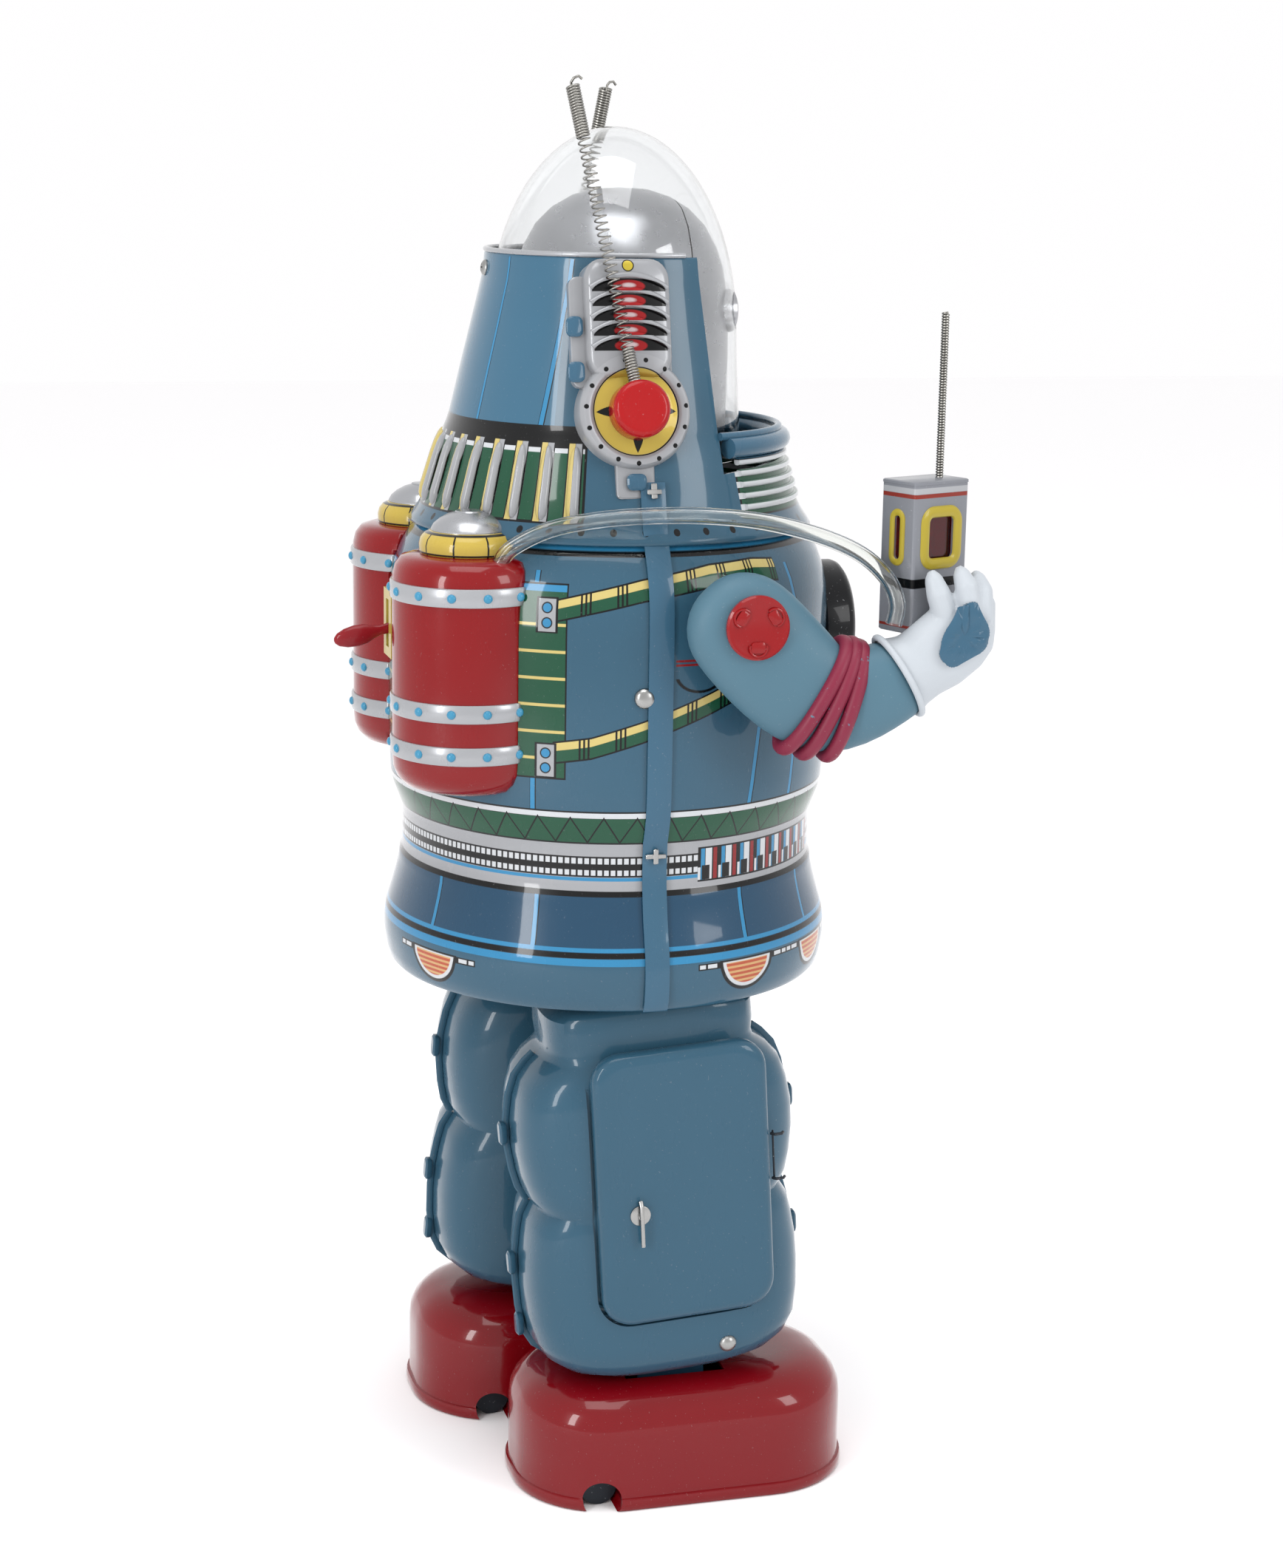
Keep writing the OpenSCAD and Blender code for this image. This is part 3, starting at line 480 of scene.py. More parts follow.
def shell_print(tree):
    turn, z = round_body(tree)
    sheet = over(tree, BODY_BLUE, band(tree, z, 133.4, 147), DEEP_BLUE)
    sheet = upright_lines(tree, turn, z, sheet, (154, 122.5, 66, 40, 14), 134.6, 146.8)
    sheet = upright_lines(tree, turn, z, sheet, (123,), 165, 218.5)
    bow = calc(
        tree, "ADD", turn,
        calc(tree, "MULTIPLY", calc(tree, "ABSOLUTE", calc(tree, "SUBTRACT", z, 191.0)), -0.16)
    )
    sheet = upright_lines(tree, bow, z, sheet, (61.5, 46), 165, 218.5)
    sheet = over(tree, sheet, band(tree, z, 134.3, 135.2), LINE_BLUE)
    sheet = over(tree, sheet, band(tree, z, 133.0, 134.2), INK)
    sheet = over(tree, sheet, band(tree, z, 131.3, 132.9), LINE_BLUE)
    for centre, flat in ((152.6, 129.9), (66, 130.9), (37, 130.9)):
        sheet = half_lamp(tree, turn, z, sheet, centre, flat)
    # the silver belt with its rows of small windows
    sheet = over(tree, sheet, band(tree, z, 147.2, 158.6), PRINT_SILVER)
    sheet = over(tree, sheet, band(tree, z, 146.2, 147.4), INK)
    sheet = over(tree, sheet, band(tree, z, 149.7, 150.5), LINE_BLUE)
    sheet = over(tree, sheet, band(tree, z, 150.6, 155.3), INK)
    squares = band(tree, calc(tree, "MODULO", turn, 1.75), 0.3, 1.5, 0.15)
    rows = either(tree, band(tree, z, 153.6, 154.9), band(tree, z, 151.0, 152.2))
    sheet = over(tree, sheet, both(tree, squares, rows), PRINT_WHITE)
    keys = band(tree, turn, 28, 79)
    step = calc(tree, "MODULO", calc(tree, "SUBTRACT", turn, 28.0), 6.4)
    sheet = over(tree, sheet, both(tree, keys, band(tree, z, 148.7, 156.6)), INK)
    keys = both(tree, keys, band(tree, z, 149.1, 156.2))
    sheet = over(tree, sheet, both(tree, keys, band(tree, step, 0.3, 1.5)), PRINT_RED)
    sheet = over(tree, sheet, both(tree, keys, band(tree, step, 1.9, 3.9)), PRINT_WHITE)
    sheet = over(tree, sheet, both(tree, keys, band(tree, step, 4.1, 5.3)), LINE_BLUE)
    sheet = over(
        tree, sheet, both(tree, keys, band(tree, step, 5.4, 6.2), ramp(tree, z, 152.0, 151.9)), PRINT_WHITE
    )
    sheet = over(tree, sheet, both(tree, keys, band(tree, step, 2.6, 5.0), ramp(tree, z, 152.4, 152.3)), INK)
    # the green truss above the belt
    sheet = over(tree, sheet, band(tree, z, 158.2, 166.1), INK)
    sheet = over(tree, sheet, band(tree, z, 158.6, 164.4), PRINT_GREEN)
    sheet = over(tree, sheet, band(tree, z, 164.5, 165.7), PRINT_WHITE)
    wave = calc(tree, "PINGPONG", turn, 4.2)
    climb = calc(tree, "ADD", 158.6, calc(tree, "MULTIPLY", wave, 1.42))
    sheet = over(
        tree, sheet,
        both(tree, band(tree, calc(tree, "SUBTRACT", z, climb), -0.32, 0.32), band(tree, z, 158.6, 165.6)),
        INK
    )
    # the printed back pack and its harness
    pack = band(tree, turn, 115, 180)
    sheet = over(tree, sheet, both(tree, band(tree, turn, 114.6, 180.5), band(tree, z, 173, 216)), INK)
    sheet = over(tree, sheet, both(tree, pack, band(tree, z, 173.4, 215.6)), PRINT_GREEN)
    rungs = band(tree, calc(tree, "MODULO", z, 5.9), 0.3, 0.95)
    sheet = over(tree, sheet, both(tree, pack, rungs, band(tree, z, 173.4, 212)), PRINT_YELLOW)
    sheet = over(tree, sheet, both(tree, pack, band(tree, z, 214.2, 215.6)), LINE_BLUE)
    upper = [(40, 216.4), (63, 218), (77.5, 217.4), (96, 214.7), (109, 212), (121, 209.4)]
    lower = [(60, 196), (78, 189.6), (95.7, 183.8), (108.4, 180.2), (121, 178.5)]
    sheet = harness(tree, turn, z, sheet, upper, 55, 118)
    sheet = harness(tree, turn, z, sheet, lower, 70, 118)
    for low in (205.6, 173.6):
        buckle = both(tree, band(tree, turn, 117, 122.6), band(tree, z, low - 0.3, low + 7.5))
        sheet = over(tree, sheet, buckle, INK)
        buckle = both(tree, band(tree, turn, 117.6, 122), band(tree, z, low, low + 7.1))
        sheet = over(tree, sheet, buckle, PRINT_SILVER)
        for high in (1.9, 5.2):
            away = calc(
                tree, "ADD",
                calc(tree, "POWER", calc(tree, "MULTIPLY", calc(tree, "SUBTRACT", turn, 119.8), 0.88), 2.0),
                calc(tree, "POWER", calc(tree, "SUBTRACT", z, low + high), 2.0)
            )
            sheet = over(tree, sheet, ramp(tree, away, 1.7, 1.4), INK)
            sheet = over(tree, sheet, ramp(tree, away, 1.0, 0.8), LINE_BLUE)
    # the opening under the arm with its red wires, and the neck line
    arc = oval(tree, calc(tree, "SUBTRACT", turn, 81.0), calc(tree, "SUBTRACT", z, 196.5), 6.5, 4.2)
    sheet = over(tree, sheet, both(tree, band(tree, arc, 0.82, 1.1), ramp(tree, z, 195.5, 195.4)), INK)
    wires = either(tree, band(tree, z, 198.2, 198.7), band(tree, z, 199.1, 199.6))
    sheet = over(tree, sheet, both(tree, wires, band(tree, turn, 70, 87.6)), PRINT_RED)
    sheet = over(tree, sheet, band(tree, z, 221.5, 222.6), INK)
    sheet = over(tree, sheet, band(tree, z, 222.8, 224.1), LINE_BLUE)
    away = calc(
        tree, "ADD",
        calc(
            tree, "POWER",
            calc(tree, "MULTIPLY", calc(tree, "SUBTRACT", calc(tree, "MODULO", turn, 10.0), 5.0), 0.78), 2.0
        ),
        calc(tree, "POWER", calc(tree, "MULTIPLY", calc(tree, "SUBTRACT", z, 224.45), 2.4), 2.0)
    )
    return over(tree, sheet, ramp(tree, away, 0.9, 0.6), INK)


litho = finish(
    "printed_tin", shell_print, rough=0.24, coat=0.9, fade=0.14, smudge=0.08, dust=0.1, ripple=0.55, bump=0.1
)
shell = drawn_up("shell_front", SHELL, sides=160)
modify(shell, "SOLIDIFY", thickness=TIN * MM, offset=-1)
shell_rear = copy_of(shell, "shell_rear")
trim(shell, (0, -0.03, 0), (0, 1, 0))
trim(shell_rear, (0, 0.03, 0), (0, -1, 0))


def opening_tool(at, facing, radius, deep):
    """A round cutter centred at a place, to make a hole."""
    pick()
    bpy.ops.mesh.primitive_cylinder_add(
        vertices=48, radius=radius * MM, depth=deep * MM, location=tuple(v * MM for v in at),
        rotation=Vector(facing).to_track_quat("Z", "Y").to_euler()
    )
    return bpy.context.object


for hole_x in (-50, 50):
    cut_with(shell, opening_tool((hole_x, -15.7, 208.9), (1, 0, 0), 3.1, 14))
cut_with(shell, opening_tool((0, -50, 198.2), (0, 1, 0), 9, 14))
for half in (shell, shell_rear):
    close_up(half)
    coat_in(half, litho)
    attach(half, "body")
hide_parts("torso_front")
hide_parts("torso_rear")

# ---- Side strips ----
# A narrow strip of blue sheet down each side hides the joint of the half barrels. It hooks under the hem,
# lies over the belt and the shoulder, and is held by small tabs that are pushed through slots and twisted.


def ribbon(name, path, width, wall):
    """A strip of sheet: one edge drawn along the path of (x, y, z), then given its thickness."""
    pick()
    bpy.ops.mesh.primitive_plane_add(size=1)
    piece = bpy.context.object
    piece.name = piece.data.name = name
    bpy.ops.object.mode_set(mode="EDIT")
    mesh = bmesh.from_edit_mesh(piece.data)
    bmesh.ops.delete(mesh, geom=[v for v in mesh.verts if v.co.x > 0], context="VERTS")
    for v in mesh.verts:
        v.co = Vector((path[0][0], path[0][1] + (width / 2 if v.co.y > 0 else -width / 2), path[0][2])) * MM
    bmesh.update_edit_mesh(piece.data)
    bpy.ops.mesh.select_all(action="SELECT")
    for here, there in zip(path, path[1:]):
        move = (Vector(there) - Vector(here)) * MM
        bpy.ops.mesh.extrude_region_move(TRANSFORM_OT_translate={"value": tuple(move)})
    bpy.ops.object.mode_set(mode="OBJECT")
    modify(piece, "SOLIDIFY", thickness=wall * MM, offset=0)
    modify(piece, "BEVEL", width=0.12 * MM, segments=2, limit_method="ANGLE")
    close_up(piece)
    return piece


def pressed(name, wide, deep, corner, levels, segments=8):
    """A pressed pan with rounded corners, drawn up level by level. A level is (height, step inwards)."""
    pick()
    bpy.ops.mesh.primitive_plane_add(size=1)
    piece = bpy.context.object
    piece.name = piece.data.name = name
    height, step = levels[0]
    piece.scale = (wide * MM, deep * MM, 1)
    piece.location = (0, 0, height * MM)
    bpy.ops.object.transform_apply(location=True, rotation=True, scale=True)
    bpy.ops.object.mode_set(mode="EDIT")
    bpy.ops.mesh.select_all(action="SELECT")
    bpy.ops.mesh.bevel(
        offset=corner * MM, segments=segments, affect="VERTICES", offset_type="OFFSET", clamp_overlap=False
    )
    bpy.ops.mesh.select_all(action="SELECT")
    now = [wide, deep]
    target = [wide - 2 * step, deep - 2 * step]
    bpy.ops.transform.resize(
        value=(target[0] / now[0], target[1] / now[1], 1), center_override=(0, 0, height * MM)
    )
    now = target
    for higher, step in levels[1:]:
        target = [wide - 2 * step, deep - 2 * step]
        bpy.ops.mesh.extrude_region_move(TRANSFORM_OT_translate={"value": (0, 0, (higher - height) * MM)})
        bpy.ops.transform.resize(
            value=(target[0] / now[0], target[1] / now[1], 1), center_override=(0, 0, higher * MM)
        )
        now, height = target, higher
    close_up(piece)
    return piece


def put(piece, at=(0, 0, 0), facing=(0, 0, 1), spin=0.0, part=Matrix.Identity(4), keep_edge=35):
    """Takes a piece made upright at the origin to its place on a part, its top turned to face that way."""
    turn = Vector(facing).to_track_quat("Z", "Y").to_matrix().to_4x4() @ Matrix.Rotation(
        radians(spin), 4, "Z"
    )
    piece.matrix_world = part @ Matrix.Translation(Vector(at) * MM) @ turn
    close_up(piece, keep_edge)
    return piece


def mirrored(piece, name):
    """The same piece for the toy's other side."""
    twin = copy_of(piece, name)
    twin.scale = (-1, 1, 1)
    close_up(twin)
    return twin


def joined(name, pieces):
    """One piece of several that are one part."""
    pick(*pieces)
    bpy.ops.object.join()
    piece = bpy.context.object
    piece.name = piece.data.name = name
    return piece


def dome(name, radius, rise, foot=0.4):
    """A domed head, as on a rivet."""
    outline = [(0, -foot), (radius, -foot), (radius, 0)]
    outline += [(radius * cos(radians(a)), rise * sin(radians(a))) for a in (18, 36, 54, 72, 90)]
    return drawn_up(name, outline, sides=24)


strip_paint = finish("strip_paint", enamel(70, 110, 136), rough=0.22, coat=0.7, fade=0.1, dust=0.15)
bare_steel = finish(
    "bare_steel", enamel(196, 196, 194), rough=0.22, metal=1.0, fade=0.2, smudge=0.25, dust=0.0, bump=0.25
)
STRIP_Y = 1.3
STRIP = [
    (51.2, 120.6), (51.6, 121.2), (52.3, 123), (52.75, 126), (52.8, 130), (52.3, 133.6), (51.3, 137),
    (50.1, 141.4),
    (49.3, 145.4), (48.7, 149), (48.6, 155), (48.9, 158.5), (50, 161.5), (50.9, 164.5), (51.3, 168),
    (51.4, 178),
    (51.4, 190), (51.4, 204), (51.1, 210.6), (50.2, 215), (48.8, 218.6), (46.9, 221.9), (45.3, 224.6),
    (44.9, 226),
    (43.6, 229.8), (42.4, 234), (41.5, 237.2)
]
for side, side_name in ((-1, "R"), (1, "L")):
    strip = ribbon(
        "side_strip_cover_" + side_name, [(side * (r - 0.1), STRIP_Y, z) for r, z in STRIP], 5.6, 0.45
    )
    coat_in(strip, strip_paint)
    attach(strip, "body")
    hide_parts("side_strip_" + side_name)
    tabs = []
    for wide, tall, radius, height in (
        (1.3, 3.4, 42.6, 235.4), (3.2, 1.1, 42.75, 235.2), (4.6, 1.0, 49.1, 155.6), (1.1, 3.4, 49.2, 155.6)
    ):
        tab = pressed(
            "strip_tab", wide, tall, 0.25, [(0, 0.1), (0.12, 0), (0.5, 0), (0.62, 0.12)], segments=2
        )
        tabs.append(put(tab, (side * radius, STRIP_Y, height), (side, 0, 0.28 if height > 200 else 0)))
    rivet = dome("strip_rivet", 2.3, 1.3)
    tabs.append(put(rivet, (side * 50.75, 4.8, 191.4), (side, 0.09, 0)))
    tabs = joined("strip_tabs_" + side_name, tabs)
    coat_in(tabs, bare_steel)
    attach(tabs, "body")

# ---- Floor of the body and the walking mechanism ----
# Under the skirt a steel disc carries two upright plates with the motor, its brass pinion and the crank
# wheel. They are plain plated and brass parts, greased and a little stained.
dark_steel = finish("dark_steel", enamel(58, 62, 68), rough=0.42, metal=0.7, fade=0.3, dust=0.3, bump=0.3)
brass = finish("gear_brass", enamel(190, 156, 84), rough=0.3, metal=1.0, fade=0.3, smudge=0.3, dust=0.05)
for node, material in (
    ("base_plate", dark_steel), ("mech_frame", bare_steel), ("motor", bare_steel), ("motor_pinion", brass),
    ("crank_wheel", brass)
):
    coat_in(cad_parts[node], material)

# ---- Chest gauge ----
# A black bezel round a white dial with a red needle, under a clear domed lens. It is pushed into a hole in
# the chest.
GAUGE_Z = 198.2


def dial_print(tree):
    x, y, z = position(tree)
    up = calc(tree, "SUBTRACT", z, GAUGE_Z)
    far = calc(tree, "SQRT", calc(tree, "ADD", calc(tree, "MULTIPLY", x, x), calc(tree, "MULTIPLY", up, up)))
    turn = calc(tree, "MULTIPLY", calc(tree, "ARCTAN2", x, up), 180 / pi)
    ticks = band(tree, calc(tree, "FLOORED_MODULO", calc(tree, "ADD", turn, 360.0), 15.0), 6.2, 8.8, 0.3)
    dial = over(tree, enamel(232, 232, 226), both(tree, ticks, band(tree, far, 7.6, 10.6)), INK)
    dial = over(tree, dial, band(tree, far, 6.6, 7.1), INK)
    return over(
        tree, dial, both(tree, band(tree, far, 7.3, 10.9), band(tree, turn, 60, 130)), enamel(190, 40, 36)
    )


bezel = drawn_up(
    "gauge_ring",
    [
        (12.3, -4.3), (12.3, 6.9), (12.7, 7.3), (13.5, 7.2), (14.6, 6.3), (15, 5.2), (15, 0), (13.4, -2.2),
        (12.3, -4.3)
    ],
    sides=96
)
put(bezel, (0, -49.2, GAUGE_Z), (0, -1, 0))
coat_in(bezel, finish("gauge_black", enamel(24, 25, 28), rough=0.3, coat=0.4, dust=0.5, fade=0.3))
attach(bezel, "body")
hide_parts("gauge_bezel")
dial = drawn_up(
    "gauge_dial", [(0, 1.2), (12.25, 1.2), (12.25, 2.0), (11.2, 2.2), (0.4, 2.2), (0, 2.25)], sides=96
)
put(dial, (0, -49.2, GAUGE_Z), (0, -1, 0))
coat_in(dial, finish("gauge_dial_print", dial_print, rough=0.4, fade=0.08))
needle = ribbon("gauge_needle", [(-0.5, 0, 0), (1, 0, 0), (4, 0, 0), (8.6, 0, 0)], 0.9, 0.25)
needle_hub = dome("gauge_hub", 1.5, 0.7)
needle = joined("gauge_needle", [needle, needle_hub])
put(needle, (0, -51.9, GAUGE_Z), (0, -1, 0), spin=128)
coat_in(needle, finish("needle_red", enamel(178, 30, 26), rough=0.3, coat=0.3))
for piece in (dial, needle):
    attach(piece, "body")


def clear_plastic(name, tint, rough=0.03, index=1.49):
    """See-through moulded plastic with faint scuffs in its gloss."""
    material = bpy.data.materials.new(name)
    material.use_nodes = True
    tree = material.node_tree
    shader = tree.nodes["Principled BSDF"]
    scuffs = noise(tree, 3.5, 5, (1, 1, 0.3))
    tree.links.new(
        calc(tree, "ADD", rough, calc(tree, "MULTIPLY", ramp(tree, scuffs, 0.55, 0.8), 0.12)),
        shader.inputs["Roughness"]
    )
    shader.inputs["Base Color"].default_value = tint
    shader.inputs["Transmission Weight"].default_value = 1
    shader.inputs["IOR"].default_value = index
    return material


lens = drawn_up(
    "gauge_glass",
    [(12.1, 0.2)] + [(12.1 * cos(radians(a)), 3.4 + 5.6 * sin(radians(a))) for a in range(0, 91, 9)]
    + [
        (11.4 * cos(radians(a)), 3.2 + 5.1 * sin(radians(a))) for a in range(90, -1, -9)
    ] + [(11.4, 0.2), (12.1, 0.2)],
    sides=96
)
put(lens, (0, -49.4, GAUGE_Z), (0, -1, 0))
clear = clear_plastic("clear_plastic", (0.97, 0.98, 0.985, 1))
coat_in(lens, clear)
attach(lens, "body")
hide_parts("gauge_lens")

# ---- Air tanks ----
# Two red pressed tanks on the back, each banded by three riveted silver hoops, with a yellow collar and a
# silver dome on top. The rear shell closes their open side.
TANK = [
    (0, 168), (8.5, 168), (11.8, 168.2), (14.4, 169.2), (16, 170.9), (16.8, 173), (17, 176), (17, 192),
    (17, 213.6),
    (16.9, 216), (16.3, 218.2), (15, 219.8), (12.6, 220.5), (9, 220.7), (0, 220.7)
]
TANK_X, TANK_Y = 25.5, 38.4
HOOPS = (178, 187.4, 212.8)
red_lacquer = finish(
    "tank_lacquer", enamel(148, 17, 23), rough=0.2, coat=0.9, fade=0.14, dust=0.1, ripple=0.5
)
hoop_silver = finish(
    "hoop_silver", enamel(190, 192, 196), rough=0.26, metal=0.35, coat=0.8, fade=0.15, dust=0.1
)
rivet_blue = finish("rivet_blue", enamel(74, 158, 198), rough=0.25, coat=0.8, dust=0.0)


def cap_print(tree):
    """The yellow collar's printed joints, eight round the tank's axis."""
    x, y, z = position(tree)
    across = calc(tree, "SUBTRACT", calc(tree, "ABSOLUTE", x), TANK_X)
    back = calc(tree, "SUBTRACT", y, TANK_Y)
    turn = calc(tree, "MULTIPLY", calc(tree, "ARCTAN2", across, back), 180 / pi)
    joint = band(tree, calc(tree, "FLOORED_MODULO", turn, 40.0), 19.0, 21.2, 0.4)
    rings = either(tree, band(tree, z, 225.0, 225.4), band(tree, z, 220.8, 221.2))
    return over(
        tree, enamel(214, 186, 84), either(tree, both(tree, joint, band(tree, z, 220, 225.2)), rings), INK
    )


collar_print = finish("collar_print", cap_print, rough=0.25, coat=0.8, dust=0.1)
dome_silver = finish("dome_silver", enamel(206, 208, 212), rough=0.2, metal=0.85, fade=0.15, dust=0.0)
INSIDE = [(0, 120)] + [(radius + 0.03, height) for radius, height in SHELL if height > 121.3] + [(0, 225)]
for side, side_name in ((-1, "R"), (1, "L")):
    axis = (side * TANK_X, TANK_Y)
    out = atan2(side * TANK_X, TANK_Y)
    tank = drawn_up("air_tank_" + side_name, TANK, sides=96, across=axis)
    cut_with(tank, drawn_up("body_core", INSIDE, sides=160))
    coat_in(tank, red_lacquer)
    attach(tank, "body")
    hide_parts("tank_" + side_name)
    hoops = []
    for height in HOOPS:
        hoops.append(drawn_up(
            "tank_hoop",
            [
                (16.6, height - 2.1), (17.3, height - 2), (17.5, height - 1.7), (17.5, height + 1.7),
                (17.3, height + 2), (16.6, height + 2.1), (16.6, height - 2.1)
            ],
            sides=96, across=axis
        ))
    hoops = joined("tank_hoops_" + side_name, hoops)
    cut_with(hoops, drawn_up("body_core", INSIDE, sides=160))
    coat_in(hoops, hoop_silver)
    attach(hoops, "body")
    rivets = []
    first = dome("tank_rivet", 1.0, 0.7, foot=0.2)
    for height in HOOPS:
        for turn in (-84, -58, -32, -6, 20, 46, 72):
            way = Vector((sin(out + radians(turn)), cos(out + radians(turn)), 0))
            rivets.append(
                put(
                    copy_of(first, "tank_rivet"), (axis[0] + 17.5 * way.x, axis[1] + 17.5 * way.y, height),
                    way
                )
            )
    bpy.data.objects.remove(first)
    rivets = joined("tank_rivets_" + side_name, rivets)
    coat_in(rivets, rivet_blue)
    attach(rivets, "body")
    collar = drawn_up(
        "tank_collar_" + side_name,
        [
            (7, 220.4), (10.6, 220.5), (11, 221), (11.1, 222.6), (10.7, 224), (9.8, 225), (8.6, 225.5),
            (7, 225.6), (7, 220.4)
        ],
        sides=72, across=axis
    )
    coat_in(collar, collar_print)
    top_dome = drawn_up(
        "tank_dome_" + side_name,
        [
            (0, 225), (8.4, 225.1), (8.5, 225.8), (7.9, 226.9), (6.6, 228), (4.8, 229), (3.2, 229.5),
            (3.0, 229.8), (1.6, 229.9), (0, 229.95)
        ],
        sides=72, across=axis
    )
    coat_in(top_dome, dome_silver)
    for piece, slot in ((collar, "cap_yellow"), (top_dome, "plain_tin")):
        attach(piece, "body")
    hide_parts("tank_cap_" + side_name)

# ---- Stop lever ----
# Between the tanks a yellow plate with a slot is tabbed to the back, and the red moulded stop lever comes
# out through it.
coat_in(
    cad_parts["switch_plate"],
    finish("switch_yellow", enamel(212, 186, 88), rough=0.3, coat=0.5, fade=0.2)
)
lever = drawn_up(
    "stop_lever",
    [
        (0, -2), (1.5, -1.5), (1.9, 0), (1.3, 3), (1.15, 8), (1.6, 9.6), (2.3, 11.4), (2.5, 13.6), (2.2, 16),
        (1.5, 17.8), (0.7, 18.6), (0, 18.8)
    ],
    sides=32
)
pick(lever)
lever.scale = (0.6, 1, 1)
bpy.ops.object.transform_apply(scale=True)
put(lever, (0, 46, 201), (0, cos(radians(12)), -sin(radians(12))))
coat_in(lever, finish("lever_red", enamel(158, 36, 44), rough=0.28, coat=0.5, fade=0.15, ripple=0.3))
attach(lever, "switch")
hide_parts("switch_lever")

# ---- Cowl ----
# A tall cone of printed sheet that carries the head. Its front is cut open, its foot flares out over the
# shoulders, and level ridges are pressed into the neck in front. The rim and the cut edges are rolled.
COWL = [
    (46.4, 224.2), (45.6, 225.4), (44.2, 227.4), (43.2, 229.4), (41.4, 235), (39.6, 241), (38.6, 244.4),
    (37.7, 246.6),
    (37.1, 248.4), (34.6, 259), (32.1, 269.2), (29.8, 278.9), (29.4, 281.6), (29.2, 284.1), (29.0, 284.6)
]
RIDGES = [231.0, 233.4, 235.8, 238.2, 240.6]


def cowl_print(tree):
    turn, z = round_body(tree)
    sheet = over(
        tree, BODY_BLUE, both(tree, band(tree, turn, 124, 180.5), ramp(tree, z, 246, 246.1)),
        enamel(72, 118, 146)
    )
    drift = calc(tree, "MULTIPLY", calc(tree, "SUBTRACT", 285.0, z), 0.19)
    sheet = upright_lines(tree, calc(tree, "SUBTRACT", turn, drift), z, sheet, (122,), 248, 284, width=1.3)
    drift = calc(tree, "MULTIPLY", calc(tree, "SUBTRACT", 285.0, z), 0.06)
    sheet = upright_lines(tree, calc(tree, "SUBTRACT", turn, drift), z, sheet, (155.7,), 248, 284, width=0.9)
    # the black collar, and the green neck panels between the ribs
    collar = band(tree, turn, 112.8, 181)
    sheet = over(tree, sheet, both(tree, band(tree, turn, 112, 181), band(tree, z, 228, 248.6)), INK)
    sheet = over(tree, sheet, both(tree, collar, band(tree, z, 228.6, 243.0)), PRINT_GREEN)
    sheet = over(tree, sheet, both(tree, collar, band(tree, z, 242.9, 243.9)), PRINT_WHITE)
    step = calc(tree, "FLOORED_MODULO", calc(tree, "SUBTRACT", turn, 113.4), 9.3)
    rib = both(tree, collar, band(tree, z, 228.4, 245))
    sheet = over(tree, sheet, both(tree, rib, band(tree, step, -1, 5.0)), INK)
    sheet = over(tree, sheet, both(tree, rib, band(tree, step, 0.4, 2.5)), PRINT_SILVER)
    sheet = over(tree, sheet, both(tree, rib, band(tree, step, 2.6, 4.6)), PRINT_YELLOW)
    throat = ramp(tree, turn, 62, 61.8)
    sheet = over(tree, sheet, both(tree, throat, band(tree, z, 228.9, 241.2)), INK)
    sheet = over(
        tree, sheet, both(tree, ramp(tree, turn, 61.2, 61), band(tree, z, 229.3, 240.8)), PRINT_GREEN
    )
    step = calc(tree, "FLOORED_MODULO", calc(tree, "SUBTRACT", z, RIDGES[0] - 0.75), RIDGES[1] - RIDGES[0])
    sheet = over(
        tree, sheet, both(tree, throat, band(tree, z, 229.3, 241), band(tree, step, 0, 1.3)), PRINT_WHITE
    )
    sheet = over(tree, sheet, both(tree, band(tree, turn, 92.2, 92.8, 0.2), ramp(tree, z, 250, 250.1)), INK)
    spot = calc(tree, "MULTIPLY", calc(tree, "SUBTRACT", calc(tree, "MODULO", turn, 9.0), 4.5), 0.78)
    return over(tree, sheet, oval_mask(tree, spot, calc(tree, "SUBTRACT", z, 226.6), 0.75), INK)


cowl = drawn_up("cowl", COWL, sides=160)
modify(cowl, "SOLIDIFY", thickness=TIN * MM, offset=-1)
pick()
bpy.ops.mesh.primitive_cube_add(size=0.08)
opening = bpy.context.object
opening.name = "cowl_opening"
opening.matrix_world = (
    Matrix.Translation((0, -0.0525, 0.2815)) @ Matrix.Rotation(radians(-5), 4, "X")
)
bpy.ops.object.transform_apply(location=True, rotation=True, scale=True)
cut_with(cowl, opening)
ribs = []
for number in range(8):
    for side in (-1, 1):
        angle = radians(115.7 + 9.3 * number)
        if number < 7 or side < 0:
            rib = drawn_up(
                "neck_rib",
                [
                    (0, -8.2), (0.7, -7.9), (1.25, -6.9), (1.5, -5.2), (1.45, 3), (1.3, 5.4), (1.0, 7),
                    (0.55, 8), (0, 8.4)
                ],
                sides=12
            )
            way = Vector((side * sin(angle), -cos(angle), 0))
            lean = Vector((-way.x * 0.29, -way.y * 0.29, 0.957))
            across = way.cross(lean).normalized()
            rib.matrix_world = Matrix.Translation(Vector((way.x * 40.9, way.y * 40.9, 236.4)) * MM) @ Matrix(
                (across, lean.cross(across), lean)
            ).transposed().to_4x4()
            close_up(rib)
            ribs.append(rib)
cowl = joined("cowl", [*ribs, cowl])
cowl_litho = finish(
    "printed_cowl", cowl_print, rough=0.22, coat=0.9, fade=0.12, smudge=0.08, dust=0.1, ripple=0.6, bump=0.12
)
coat_in(cowl, cowl_litho)
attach(cowl, "body")
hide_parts("head_cowl")


